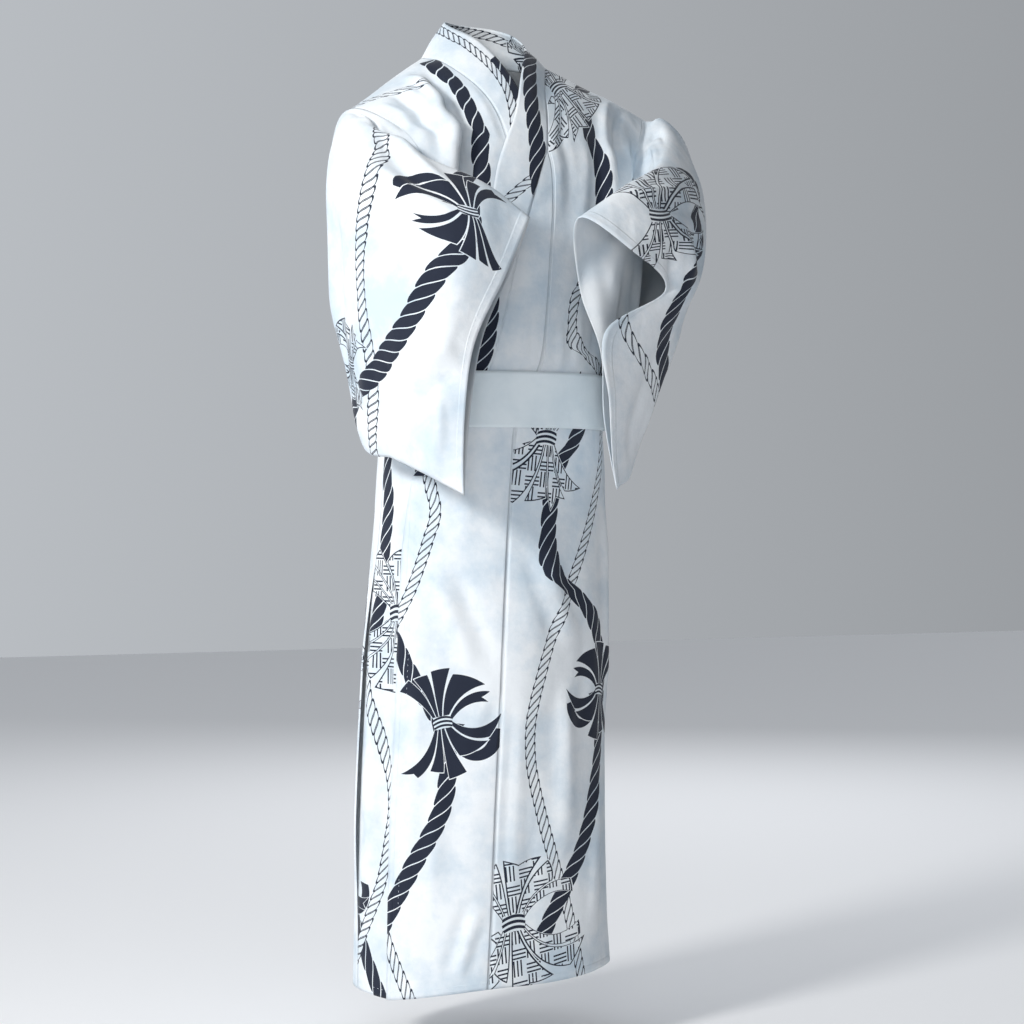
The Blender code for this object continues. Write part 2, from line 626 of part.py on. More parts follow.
# Sleeves, each a loop of cloth from the armhole to the open cuff
def sleeve_grid(armhole, table, foot_guides):
    """Loops run from the bottom up the inner side, over the top and down the outer side."""
    count = len(armhole[0])
    ridge = UPPER_STEPS * (1 + UPPER_NAMES.index("front_ridge"))
    rows = list(armhole)
    for entry in table:
        guides = [Vector(p) for p in entry[1:]] + [Vector(entry[1])]
        up = guides[:foot_guides + 1]
        down = guides[foot_guides:]
        loop = up[:-1] + down
        spans = len(loop) - 1
        share = foot_guides / spans
        fine = []
        for k in range(241):
            fine.append(spline(loop[:-1], k / 240.0, closed=True))
        run = [0.0]
        for a, b in zip(fine, fine[1:]):
            run.append(run[-1] + (b - a).length)
        top = run[round(share * 240)]
        line = []
        for i in range(count):
            if i <= ridge:
                want = top * i / ridge
            else:
                want = top + (run[-1] - top) * (i - ridge) / (count - 1 - ridge)
            k = 0
            while k < 239 and run[k + 1] < want:
                k += 1
            part = (want - run[k]) / max(run[k + 1] - run[k], 1e-9)
            line.append(fine[k].lerp(fine[k + 1], min(max(part, 0.0), 1.0)))
        rows.append(line)
    grid = loft(rows, [1] + [SLEEVE_STEPS] * (len(rows) - 2))
    grid[0] = move_edge(grid[0], grid[1], SEAM_INSET)
    for i in (0, 1, -2, -1):
        grid[0][i] = grid[0][i].lerp(grid[1][i], 0.15)
    # the last point of each loop is the first one again
    merged = []
    for row in grid:
        first = (row[0] + row[-1]) * 0.5
        merged.append([first] + row[1:-1])
    return merged


for name, armhole, table in (
        ("sleeve_right", right_armhole, RIGHT_SLEEVE), ("sleeve_left", left_armhole, LEFT_SLEEVE)):
    cloth_object(name, sleeve_grid(armhole, table, 4), CLOTH, COTTON, closed=True)


# Belt, one closed wrap
def obi_grid():
    rows = []
    for k in range(4):
        z = OBI_FOOT + (OBI_TOP - OBI_FOOT) * k / 3
        rows.append([torso_point(z, 360.0 * j / 56 - 180.0, OBI_LIFT) for j in range(56)])
    return rows


cloth_object("obi", obi_grid(), OBI_CLOTH, BELT_BLUE, closed=True)


# Knot loop behind: height, half width of the loop, distance of its near and far side from the back
KNOT_LOOP = (
    (-0.540, 0.0400, 0.1343, 0.1455),
    (-0.519, 0.0350, 0.1338, 0.1449),
    (-0.497, 0.0335, 0.1331, 0.1445),
    (-0.474, 0.0350, 0.1329, 0.1446),
    (-0.450, 0.0395, 0.1334, 0.1453),
)
KNOT_LEAN = 0.10

# Belt ends: height, middle in X, half width, distance from the back
END_UP = (
    (-0.530, -0.003, 0.0245, 0.1371),
    (-0.490, 0.001, 0.0245, 0.1365),
    (-0.448, 0.005, 0.0270, 0.1369),
    (-0.425, 0.010, 0.0340, 0.1388),
    (-0.380, 0.021, 0.0395, 0.1428),
)
END_DOWN = (
    (-0.462, 0.003, 0.0245, 0.1398),
    (-0.500, -0.000, 0.0245, 0.1398),
    (-0.545, -0.005, 0.0270, 0.1405),
    (-0.570, -0.010, 0.0345, 0.1425),
    (-0.632, -0.022, 0.0400, 0.1463),
)


def knot_grid():
    rows = []
    for z, half, near, far in KNOT_LOOP:
        middle = (near + far) / 2
        deep = (far - near) / 2
        lean = (z - KNOT_LOOP[2][0]) * KNOT_LEAN
        row = []
        for j in range(24):
            a = 2 * math.pi * j / 24
            c = math.copysign(abs(math.cos(a)) ** 0.45, math.cos(a))
            s = math.copysign(abs(math.sin(a)) ** 0.75, math.sin(a))
            row.append(Vector((lean + half * c, middle + deep * s, z)))
        rows.append(row)
    return rows


def end_grid(table):
    rows = []
    for z, x, half, y in table:
        row = []
        for j in range(5):
            t = j / 2.0 - 1.0
            row.append(Vector((x + half * t, y + 0.0012 * (1.0 - t * t), z)))
        rows.append(row)
    return loft(rows, [2] * (len(rows) - 1))


cloth_object("obi_knot", knot_grid(), OBI_CLOTH, BELT_BLUE, closed=True)
cloth_object("obi_end_up", end_grid(END_UP), OBI_CLOTH, BELT_BLUE)
cloth_object("obi_end_down", end_grid(END_DOWN), OBI_CLOTH, BELT_BLUE)
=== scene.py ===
import math
import bmesh
import bpy
import numpy as np
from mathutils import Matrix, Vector


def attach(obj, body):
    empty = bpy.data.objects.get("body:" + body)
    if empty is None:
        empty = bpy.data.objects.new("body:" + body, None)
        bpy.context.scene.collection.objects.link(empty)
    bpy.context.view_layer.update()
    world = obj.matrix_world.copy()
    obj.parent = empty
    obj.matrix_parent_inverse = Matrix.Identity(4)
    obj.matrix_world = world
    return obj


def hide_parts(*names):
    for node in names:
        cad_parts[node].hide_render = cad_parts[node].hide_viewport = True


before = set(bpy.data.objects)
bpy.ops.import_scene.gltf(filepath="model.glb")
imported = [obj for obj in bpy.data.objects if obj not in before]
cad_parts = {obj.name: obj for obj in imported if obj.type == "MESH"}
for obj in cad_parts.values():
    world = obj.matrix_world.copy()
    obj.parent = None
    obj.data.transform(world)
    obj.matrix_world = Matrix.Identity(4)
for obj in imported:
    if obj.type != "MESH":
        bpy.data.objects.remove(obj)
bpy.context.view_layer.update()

# Studio: a pale floor just under where the wearer's soles would be, soft light from the
# wearer's right front, and the camera at the height of the belt, turned 25 degrees to that side.
# The room is bright on the wearer's right and darker towards the left of the robe.
FLOOR_HEIGHT = -1.405
FLOOR_REACH = 9.0
LOOKED_AT = Vector((0.0, 0.0, -0.6))
CAMERA_TURN = math.radians(25.0)
CAMERA_AWAY = 3.35
CAMERA_ASIDE = 0.036
CAMERA_HEIGHT = -0.65


def new_paint(name):
    """A material with its node tree and its shader."""
    paint = bpy.data.materials.new(name)
    paint.use_nodes = True
    return paint, paint.node_tree, paint.node_tree.nodes["Principled BSDF"]


def shown(name, data):
    """A new object of the scene, at the origin."""
    item = bpy.data.objects.new(name, data)
    bpy.context.scene.collection.objects.link(item)
    return item


floor_mesh = bpy.data.meshes.new("floor")
floor_mesh.from_pydata(
    [(x * FLOOR_REACH, y * FLOOR_REACH, FLOOR_HEIGHT) for x, y in ((-1, -1), (1, -1), (1, 1), (-1, 1))],
    [], [(0, 1, 2, 3)])
floor = shown("floor", floor_mesh)
floor_paint, floor_shader = new_paint("floor_paint")[::2]
floor_shader.inputs["Base Color"].default_value = (0.90, 0.90, 0.91, 1.0)
floor_shader.inputs["Roughness"].default_value = 0.9
floor_mesh.materials.append(floor_paint)

studio = bpy.data.worlds.new("studio")
studio.use_nodes = True
sky = studio.node_tree.nodes["Background"]
sky.inputs["Color"].default_value = (0.90, 0.945, 1.0, 1.0)
way = studio.node_tree.nodes.new("ShaderNodeTexCoord")
sideways = studio.node_tree.nodes.new("ShaderNodeVectorMath")
sideways.operation = "DOT_PRODUCT"
sideways.inputs[1].default_value = (-0.906, 0.423, 0.0)
fall = studio.node_tree.nodes.new("ShaderNodeMapRange")
for label, value in (("From Min", -1.0), ("From Max", 1.0), ("To Min", 0.05), ("To Max", 0.85)):
    fall.inputs[label].default_value = value
studio.node_tree.links.new(way.outputs["Generated"], sideways.inputs[0])
studio.node_tree.links.new(sideways.outputs["Value"], fall.inputs["Value"])
studio.node_tree.links.new(fall.outputs["Result"], sky.inputs["Strength"])
bpy.context.scene.world = studio
bpy.context.scene.view_settings.view_transform = "Standard"

for name, place, size, watts, tint in (
        ("key", (-3.5, -1.6, 1.1), 0.8, 116.0, (1.0, 0.99, 0.97)),
        ("front", (-1.7, -3.1, 0.0), 1.2, 19.0, (0.95, 0.97, 1.0)),
        ("rim", (2.0, 3.0, 1.2), 0.9, 40.0, (0.95, 0.97, 1.0))):
    lamp = bpy.data.lights.new(name, "AREA")
    lamp.shape = "DISK"
    lamp.size = size
    lamp.energy = watts
    lamp.color = tint
    light = shown(name, lamp)
    light.location = place
    light.rotation_euler = (LOOKED_AT - Vector(place)).to_track_quat("-Z", "Y").to_euler()

toward = Vector((-math.sin(CAMERA_TURN), -math.cos(CAMERA_TURN), 0.0))
aside = Vector((math.cos(CAMERA_TURN), -math.sin(CAMERA_TURN), 0.0))
camera_data = bpy.data.cameras.new("camera")
camera_data.lens = 81.8
camera_data.sensor_width = 36.0
camera = shown("camera", camera_data)
camera.location = toward * CAMERA_AWAY + aside * CAMERA_ASIDE + Vector((0.0, 0.0, CAMERA_HEIGHT))
camera.rotation_euler = (-toward).to_track_quat("-Z", "Y").to_euler()
bpy.context.scene.camera = camera


# Body panels: two straight lengths of printed cotton, each from the front hem over the shoulder
# to the back hem, closed at the side below the armhole and joined to each other down the
# middle of the back. The left front lies over the right one.
CLOTH = 0.0009
FRONT_LIFT = 0.0023
COLLAR_END = -0.600
FULLNESS = 0.94
RIGHT_SHIFT = 5.0
HEM_FRONT = -1.325
UNDER_HEM_RAISE = 0.010
SLEEVE_FLARE = 0.009
BODY_COLUMNS = 54
UPPER_STEPS = 9

# Torso form: height, half width, front depth, back depth, shift in X, shift in Y
TORSO = (
    (-1.340, 0.188, 0.146, 0.146, -0.006, 0.005),
    (-1.040, 0.183, 0.142, 0.144, -0.005, 0.003),
    (-0.900, 0.179, 0.139, 0.142, -0.003, 0.000),
    (-0.750, 0.174, 0.136, 0.140, 0.000, -0.003),
    (-0.650, 0.169, 0.132, 0.137, 0.003, -0.005),
    (-0.560, 0.164, 0.129, 0.132, 0.004, -0.005),
    (-0.495, 0.160, 0.127, 0.128, 0.004, -0.004),
    (-0.430, 0.164, 0.130, 0.129, 0.004, -0.003),
    (-0.350, 0.171, 0.134, 0.130, 0.003, -0.002),
    (-0.280, 0.176, 0.135, 0.130, 0.002, 0.000),
    (-0.200, 0.180, 0.131, 0.127, 0.000, 0.000),
    (-0.130, 0.182, 0.121, 0.120, 0.000, 0.000),
    (-0.080, 0.182, 0.106, 0.108, 0.000, 0.000),
)

# Left front seams in degrees from the front middle: height, okumi seam, collar seam, free edge
FRONT_SEAMS = (
    (-1.340, -15.5, -45.0, -65.5),
    (-1.115, -12.8, -45.0, -65.5),
    (-0.900, -10.8, -44.0, -64.5),
    (-0.680, -9.6, -44.0, -65.5),
    (-0.600, -8.4, -40.0, -61.0),
    (-0.536, -6.8, -31.5, -51.5),
    (-0.490, -1.5, -24.0, -46.0),
    (-0.440, 5.5, -17.5, -40.5),
    (-0.370, 8.2, -11.0, -31.5),
    (-0.300, 9.8, -5.5, -24.0),
    (-0.230, 12.0, 1.0, -16.5),
    (-0.172, 12.4, 6.8, -12.0),
    (-0.140, 10.5, 10.5, -8.4),
)

# Hem height of the outer layer: degrees from the front middle, height
HEM = (
    (-180.0, -1.312),
    (-135.0, -1.316),
    (-92.0, -1.319),
    (-65.0, -1.325),
    (-58.0, -1.323),
    (-16.0, -1.307),
    (11.0, -1.304),
    (45.0, -1.298),
    (90.0, -1.300),
    (135.0, -1.307),
    (180.0, -1.312),
)

# Skirt folds: degrees at top, degrees at foot, top height, foot height, half width, rise
SKIRT_FOLDS = (
    (12.0, -3.0, -0.560, -0.960, 9.0, 0.0045),
    (-26.0, -34.0, -0.640, -1.250, 12.0, -0.0040),
    (38.0, 30.0, -0.620, -1.360, 13.0, 0.0040),
    (66.0, 70.0, -0.570, -1.300, 12.0, -0.0050),
    (-95.0, -88.0, -0.640, -1.380, 14.0, 0.0050),
    (-126.0, -120.0, -0.570, -1.340, 13.0, -0.0055),
    (-152.0, -158.0, -0.600, -1.380, 12.0, 0.0050),
    (112.0, 108.0, -0.580, -1.380, 14.0, 0.0050),
    (142.0, 150.0, -0.560, -1.330, 13.0, -0.0050),
)

# Heights of the skirt's sections from the hem up; the first is the hem itself
SKIRT_LEVELS = (None, -1.200, -1.060, -0.920, -0.790, -0.690, -0.600, -0.536, -0.490, -0.440)

# Left chest and shoulder: section, seam, chest, pleat, fold, armhole
# A seam given as a height lies on the front seams; a chest or pleat given in degrees
# lies on the torso form at that height
LEFT_UPPER = (
    ("waist", -0.370, 32.0, 48.0, (0.153, -0.082, -0.372), (0.173, -0.058, -0.375)),
    ("rib", -0.300, 29.0, 43.0, (0.146, -0.113, -0.300), (0.166, -0.102, -0.305)),
    ("breast", -0.230, 28.0, 40.0, (0.142, -0.122, -0.224), (0.168, -0.108, -0.228)),
    ("armpit", -0.172, (0.088, -0.119, -0.166), (0.120, -0.108, -0.160), (0.150, -0.107, -0.158),
     (0.186, -0.086, -0.170)),
    ("point", -0.140, (0.088, -0.111, -0.122), (0.125, -0.099, -0.120), (0.162, -0.092, -0.122),
     (0.206, -0.069, -0.132)),
    ("yoke", (0.043, -0.106, -0.097), (0.092, -0.092, -0.082), (0.132, -0.080, -0.084),
     (0.172, -0.070, -0.090), (0.222, -0.052, -0.104)),
    ("slope", (0.055, -0.074, -0.050), (0.100, -0.062, -0.045), (0.140, -0.054, -0.053),
     (0.182, -0.046, -0.062), (0.234, -0.036, -0.082)),
    ("front_ridge", (0.075, -0.034, -0.012), (0.112, -0.028, -0.023), (0.150, -0.024, -0.036),
     (0.190, -0.020, -0.048), (0.241, -0.016, -0.069)),
    ("ridge", (0.092, 0.008, -0.012), (0.122, 0.008, -0.018), (0.158, 0.008, -0.032),
     (0.196, 0.008, -0.048), (0.244, 0.008, -0.073)),
    ("back_ridge", (0.078, 0.046, -0.004), (0.115, 0.040, -0.021), (0.153, 0.035, -0.038),
     (0.194, 0.030, -0.060), (0.243, 0.026, -0.094)),
    ("nape", (0.042, 0.073, 0.004), (0.098, 0.066, -0.030), (0.142, 0.061, -0.052),
     (0.188, 0.051, -0.082), (0.241, 0.036, -0.130)),
    ("neck_middle", (0.000, 0.083, 0.006), (0.084, 0.092, -0.062), (0.132, 0.086, -0.090),
     (0.184, 0.070, -0.125), (0.238, 0.040, -0.180)),
    ("blade", (0.000, 0.112, -0.080), (0.080, 0.112, -0.135), (0.130, 0.104, -0.160),
     (0.180, 0.082, -0.190), (0.233, 0.040, -0.240)),
    ("mid_back", (0.000, 0.126, -0.180), (0.080, 0.122, -0.215), (0.128, 0.110, -0.235),
     (0.176, 0.083, -0.260), (0.224, 0.034, -0.300)),
    ("low_back", (0.000, 0.130, -0.280), (0.080, 0.123, -0.295), (0.124, 0.108, -0.308),
     (0.166, 0.076, -0.330), (0.208, 0.022, -0.360)),
    ("small_back", (0.000, 0.129, -0.370), (0.076, 0.120, -0.375), (0.118, 0.099, -0.380),
     (0.152, 0.062, -0.388), (0.187, 0.010, -0.402)),
)

# Right chest and shoulder, the same columns
RIGHT_UPPER = (
    ("waist", -0.370, -30.0, -44.0, (-0.142, -0.089, -0.372), (-0.165, -0.062, -0.375)),
    ("rib", -0.300, -26.0, -38.0, (-0.120, -0.120, -0.300), (-0.146, -0.106, -0.305)),
    ("breast", -0.230, (-0.066, -0.124, -0.228), (-0.091, -0.109, -0.226), (-0.108, -0.131, -0.224),
     (-0.136, -0.117, -0.228)),
    ("armpit", -0.172, (-0.064, -0.119, -0.166), (-0.092, -0.102, -0.160), (-0.110, -0.127, -0.158),
     (-0.145, -0.112, -0.170)),
    ("point", -0.140, (-0.062, -0.111, -0.122), (-0.094, -0.095, -0.120), (-0.112, -0.117, -0.122),
     (-0.160, -0.098, -0.135)),
    ("yoke", (-0.033, -0.110, -0.094), (-0.075, -0.090, -0.080), (-0.100, -0.079, -0.080),
     (-0.116, -0.094, -0.082), (-0.182, -0.076, -0.112)),
    ("slope", (-0.052, -0.086, -0.056), (-0.090, -0.064, -0.046), (-0.108, -0.058, -0.047),
     (-0.128, -0.063, -0.052), (-0.202, -0.053, -0.096)),
    ("front_ridge", (-0.082, -0.040, -0.018), (-0.108, -0.030, -0.021), (-0.132, -0.027, -0.034),
     (-0.160, -0.026, -0.053), (-0.213, -0.022, -0.088)),
    ("ridge", (-0.094, 0.008, -0.003), (-0.118, 0.008, -0.018), (-0.143, 0.008, -0.036),
     (-0.174, 0.008, -0.060), (-0.217, 0.008, -0.094)),
    ("back_ridge", (-0.080, 0.046, 0.001), (-0.112, 0.040, -0.021), (-0.144, 0.035, -0.044),
     (-0.180, 0.030, -0.074), (-0.219, 0.027, -0.115)),
    ("nape", (-0.043, 0.073, 0.005), (-0.096, 0.067, -0.030), (-0.136, 0.062, -0.056),
     (-0.178, 0.052, -0.092), (-0.221, 0.038, -0.148)),
    ("neck_middle", (0.000, 0.083, 0.006), (-0.083, 0.092, -0.062), (-0.128, 0.086, -0.092),
     (-0.175, 0.071, -0.130), (-0.222, 0.043, -0.192)),
    ("blade", (0.000, 0.112, -0.080), (-0.080, 0.112, -0.135), (-0.127, 0.104, -0.160),
     (-0.174, 0.084, -0.195), (-0.221, 0.044, -0.250)),
    ("mid_back", (0.000, 0.126, -0.180), (-0.080, 0.122, -0.215), (-0.126, 0.110, -0.235),
     (-0.171, 0.084, -0.262), (-0.215, 0.039, -0.305)),
    ("low_back", (0.000, 0.130, -0.280), (-0.080, 0.123, -0.295), (-0.122, 0.108, -0.308),
     (-0.162, 0.077, -0.330), (-0.201, 0.026, -0.360)),
    ("small_back", (0.000, 0.129, -0.370), (-0.074, 0.120, -0.375), (-0.114, 0.100, -0.380),
     (-0.147, 0.063, -0.388), (-0.180, 0.011, -0.402)),
)


def along(keys, values, key):
    """Smooth value of a table's column at a key."""
    if key <= keys[0]:
        return values[0]
    if key >= keys[-1]:
        return values[-1]
    i = max(j for j in range(len(keys) - 1) if keys[j] <= key)
    span = keys[i + 1] - keys[i]
    s = (key - keys[i]) / span

    def slope(j):
        a = max(j - 1, 0)
        b = min(j + 1, len(keys) - 1)
        return (values[b] - values[a]) / (keys[b] - keys[a]) * span

    return (
        (2 * s**3 - 3 * s**2 + 1) * values[i]
        + (s**3 - 2 * s**2 + s) * slope(i)
        + (3 * s**2 - 2 * s**3) * values[i + 1]
        + (s**3 - s**2) * slope(i + 1)
    )


def column(table, index, key):
    return along([row[0] for row in table], [row[index] for row in table], key)


def fold_rise(angle, z):
    """Height of the skirt's soft folds above the torso form."""
    rise = 0.0
    for top_angle, foot_angle, top, foot, width, height in SKIRT_FOLDS:
        s = (top - z) / (top - foot)
        if 0.0 < s < 1.0:
            middle = top_angle + (foot_angle - top_angle) * s
            off = (angle - middle + 180.0) % 360.0 - 180.0
            fade = min(1.0, s / 0.3, (1.0 - s) / 0.12)
            rise += height * math.exp(-((off / width) ** 2)) * math.sin(fade * math.pi / 2) ** 2
    return rise


def torso_point(z, angle, lift):
    """Point on the torso form, in degrees from the front middle towards the left."""
    lift += fold_rise(angle, z)
    wide = column(TORSO, 1, z) + lift
    front = column(TORSO, 2, z) + lift
    back = column(TORSO, 3, z) + lift
    s = math.sin(math.radians(angle))
    c = math.cos(math.radians(angle))
    deep = front if c > 0.0 else back
    return Vector((
        column(TORSO, 4, z) + wide * math.copysign(abs(s) ** FULLNESS, s),
        column(TORSO, 5, z) - deep * math.copysign(abs(c) ** FULLNESS, c),
        z,
    ))


def hem_height(angle):
    return column(HEM, 1, (angle + 180.0) % 360.0 - 180.0)


def spline(points, t, closed=False):
    """Point on a smooth curve through the points, t from 0 to 1."""
    n = len(points)
    spans = n if closed else n - 1
    x = min(max(t, 0.0), 1.0) * spans
    i = min(int(x), spans - 1)
    s = x - i

    def at(j):
        if closed:
            return points[j % n]
        if j < 0:
            return points[0] * 2.0 - points[1]
        if j >= n:
            return points[-1] * 2.0 - points[-2]
        return points[j]

    a, b, c, d = at(i - 1), at(i), at(i + 1), at(i + 2)
    return 0.5 * (
        2.0 * b
        + (c - a) * s
        + (2.0 * a - 5.0 * b + 4.0 * c - d) * s**2
        + (3.0 * b - a - 3.0 * c + d) * s**3
    )


def even(points, count):
    """Points evenly spaced along a smooth curve through the guides."""
    fine = [spline(points, k / 120.0) for k in range(121)]
    run = [0.0]
    for a, b in zip(fine, fine[1:]):
        run.append(run[-1] + (b - a).length)
    return [Vector(p) for p in np.column_stack([
        np.interp(np.linspace(0.0, run[-1], count + 1), run, [p[axis] for p in fine])
        for axis in range(3)])]


def loft_line(points, steps, breaks):
    """One lengthwise line through the sections, with corners at the breaks."""
    cuts = [0] + sorted(breaks) + [len(points) - 1]
    line = []
    for first, last in zip(cuts, cuts[1:]):
        part = points[first:last + 1]
        spans = len(part) - 1
        for i in range(spans):
            for k in range(steps[first + i]):
                line.append(spline(part, (i + k / steps[first + i]) / spans))
    line.append(points[-1].copy())
    return line


def loft(rows, steps, breaks=None):
    """Rows of points in between the given sections, as an array."""
    breaks = breaks or {}
    count = len(rows[0])
    lines = []
    for j in range(count):
        cut = breaks.get(j, breaks.get(j - count, []))
        lines.append(loft_line([row[j] for row in rows], steps, cut))
    return np.array([[tuple(line[i]) for line in lines] for i in range(len(lines[0]))])


def front_lift(side, angle):
    toward_front = max(0.0, math.cos(math.radians(angle)))
    reach = min(1.0, toward_front / 0.35)
    return side * FRONT_LIFT * reach * reach * (3.0 - 2.0 * reach)


def front_point(side, z, angle):
    over = angle * side < 0.0
    return torso_point(z, angle, side * FRONT_LIFT if over else front_lift(side, angle))


def seam_angle(side, index, z):
    angle = column(FRONT_SEAMS, index, z)
    return angle if side > 0 else RIGHT_SHIFT - angle


def front_level(side, level, angle):
    """Height of a skirt section at an angle; the hem follows its own line."""
    if level is not None:
        return level
    under = min(1.0, max(0.0, (angle + 66.0) / 20.0)) if side < 0 else 0.0
    return hem_height(angle) + UNDER_HEM_RAISE * under


def upper_seam(side, entry):
    if isinstance(entry, float):
        return front_point(side, entry, seam_angle(side, 1, entry))
    return Vector(entry)


NECK_LIFTS = {"yoke": 1.0, "slope": 0.55, "front_ridge": 0.15}


def lifted(side, name, point):
    out = Vector((point[0], point[1] - 0.02, 0.02)).normalized()
    return Vector(point) + out * side * FRONT_LIFT * NECK_LIFTS.get(name, 0.0)


def body_rows(side, table):
    rows = []
    for level in SKIRT_LEVELS:
        start = seam_angle(side, 1, HEM_FRONT if level is None else level)
        row = []
        for j in range(BODY_COLUMNS + 1):
            angle = start + (side * 90.0 - start) * j / BODY_COLUMNS
            row.append(front_point(side, front_level(side, level, angle), angle))
        rows.append(row)
    for entry in table:
        guides = [lifted(side, entry[0], upper_seam(side, entry[1]))]
        for place in entry[2:]:
            on_form = isinstance(place, float)
            guides.append(front_point(side, entry[1], place) if on_form else Vector(place))
        rows.append(even(guides, BODY_COLUMNS))
    for level in reversed(SKIRT_LEVELS):
        row = []
        for j in range(BODY_COLUMNS + 1):
            angle = side * (180.0 - 90.0 * j / BODY_COLUMNS)
            row.append(torso_point(hem_height(angle) if level is None else level, angle, 0.0))
        rows.append(row)
    return rows


SKIRT_SPANS = len(SKIRT_LEVELS) - 1
SKIRT_STEPS = [22, 22, 22, 20, 16, 14, 11, 8, 8]
UPPER_NAMES = [entry[0] for entry in LEFT_UPPER]
FOOT_FRONT = SKIRT_SPANS
NECK_MIDDLE = SKIRT_SPANS + 1 + UPPER_NAMES.index("neck_middle")
POINT_ROW = SKIRT_SPANS + 1 + UPPER_NAMES.index("point")
FOOT_BACK = SKIRT_SPANS + 1 + len(UPPER_NAMES)
BODY_STEPS = SKIRT_STEPS + [UPPER_STEPS] * (len(UPPER_NAMES) + 1) + SKIRT_STEPS[::-1]
FRONT_FINE = sum(SKIRT_STEPS)
BACK_FINE = FRONT_FINE + UPPER_STEPS * (len(UPPER_NAMES) + 1)


def facing(points, closed):
    """Outward directions at the points of a grid."""
    down = np.gradient(points, axis=0)
    if closed:
        side_on = np.roll(points, -1, axis=1) - np.roll(points, 1, axis=1)
    else:
        side_on = np.gradient(points, axis=1)
    out = np.cross(side_on, down)
    out /= np.maximum(np.linalg.norm(out, axis=2, keepdims=True), 1e-9)
    return out


def laid_flat(points):
    """The cut's own sizes at each point: across it from the first column, and along it."""
    wide = np.linalg.norm(np.diff(points, axis=1), axis=2)
    across_cut = np.concatenate([np.zeros((len(points), 1)), np.cumsum(wide, axis=1)], axis=1)
    long = np.linalg.norm(np.diff(points, axis=0), axis=2).mean(axis=1)
    along_cut = np.concatenate([[0.0], np.cumsum(long)])[:, None] * np.ones(points.shape[:2])
    return across_cut, along_cut


def outward(points, closed=False, sign=1.0):
    out = facing(points, closed)
    if closed:
        from_middle = points - points.mean(axis=1, keepdims=True)
        sign = 1.0 if (out * from_middle).sum() > 0.0 else -1.0
    return out * sign


def creased(points, flat, table, closed=False, sign=1.0):
    """Soft troughs and ridges laid on the cloth, from a table in millimetres."""
    u, v = flat
    rise = np.zeros(u.shape)
    for u0, v0, u1, v1, bow, half, height in np.array(table) / 1000.0:
        run = math.hypot(u1 - u0, v1 - v0)
        du, dv = (u1 - u0) / run, (v1 - v0) / run
        s = ((u - u0) * du + (v - v0) * dv) / run
        off = (u - u0) * dv - (v - v0) * du - bow * 4.0 * s * (1.0 - s)
        fade = np.clip(np.minimum(s, 1.0 - s) / 0.32, 0.0, 1.0)
        fade = fade * fade * (3.0 - 2.0 * fade)
        half_here = half * (0.7 + 0.6 * np.clip(s, 0.0, 1.0))
        rise += height * fade * np.exp(-((off / half_here) ** 2))
    return points + outward(points, closed, sign) * rise[:, :, None]


def cloth_piece(name, points, flat, thickness, closed=False, skip=None, sign=1.0, reverse=True):
    """A thin shell of cloth on its grid, with the cut's sizes as its own map. The inner side
    takes the second material."""
    rows, width = points.shape[:2]
    inside_out = (outward(points, closed, sign) * facing(points, closed)).sum() < 0.0
    faces = []
    for i in range(rows - 1):
        for j in range(width if closed else width - 1):
            if skip is None or not skip(i, j):
                near, far = i * width + j, i * width + (j + 1) % width
                round_it = (near, far, far + width, near + width)
                faces.append(round_it[::-1] if inside_out else round_it)
    mesh = bpy.data.meshes.new(name)
    mesh.from_pydata(points.reshape(-1, 3).tolist(), [], faces)
    cut = mesh.uv_layers.new(name="cut")
    u, v = (part.reshape(-1) for part in flat[:2])
    ids = np.empty(len(mesh.loops), dtype=np.int32)
    mesh.loops.foreach_get("vertex_index", ids)
    values = np.column_stack([u[ids], v[ids]])
    if closed:
        column_of = ids.reshape(-1, 4) % width
        wraps = (column_of == 0) & (column_of.max(axis=1) == width - 1)[:, None]
        at = np.flatnonzero(wraps.reshape(-1))
        values[at, 1] = flat[2].reshape(-1)[ids[at]]
    cut.data.foreach_set("uv", values.astype(np.float32).reshape(-1))
    used = set(ids.tolist())
    if len(used) < rows * width:
        work = bmesh.new()
        work.from_mesh(mesh)
        loose = [corner for corner in work.verts if corner.index not in used]
        bmesh.ops.delete(work, geom=loose, context="VERTS")
        work.to_mesh(mesh)
        work.free()
    mesh.shade_smooth()
    item = shown(name, mesh)
    wall = item.modifiers.new("cloth_wall", "SOLIDIFY")
    wall.thickness = thickness
    wall.offset = 0.0
    wall.use_rim = True
    if reverse:
        wall.material_offset = 1
    return item


def dress(piece, node, slot, *paints):
    """Gives a piece its materials and puts it in the place of its plain solid."""
    for paint in paints:
        piece.data.materials.append(paint)
    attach(piece, "root")
    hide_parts(node)


def body_points(side, table):
    breaks = {0: [POINT_ROW, NECK_MIDDLE], -1: [FOOT_FRONT, FOOT_BACK]}
    return loft(body_rows(side, table), BODY_STEPS, breaks)


def armhole_of(points, side):
    """The armhole's edge, and the first of the sleeve's cloth that runs on from it."""
    edge = points[FRONT_FINE:BACK_FINE + 1, -1]
    run = edge - points[FRONT_FINE:BACK_FINE + 1, -6]
    flare = edge + run / np.linalg.norm(run, axis=1, keepdims=True) * SLEEVE_FLARE
    foot = np.array([side, 0.0, -0.25])
    flare[0] = flare[-1] = edge[0] + foot / np.linalg.norm(foot) * SLEEVE_FLARE
    for near, far, step in ((0, 6, 1), (-1, -7, -1)):
        for k in range(1, 6):
            flare[near + k * step] = flare[near] + (flare[far] - flare[near]) * k / 6.0
    return edge, flare


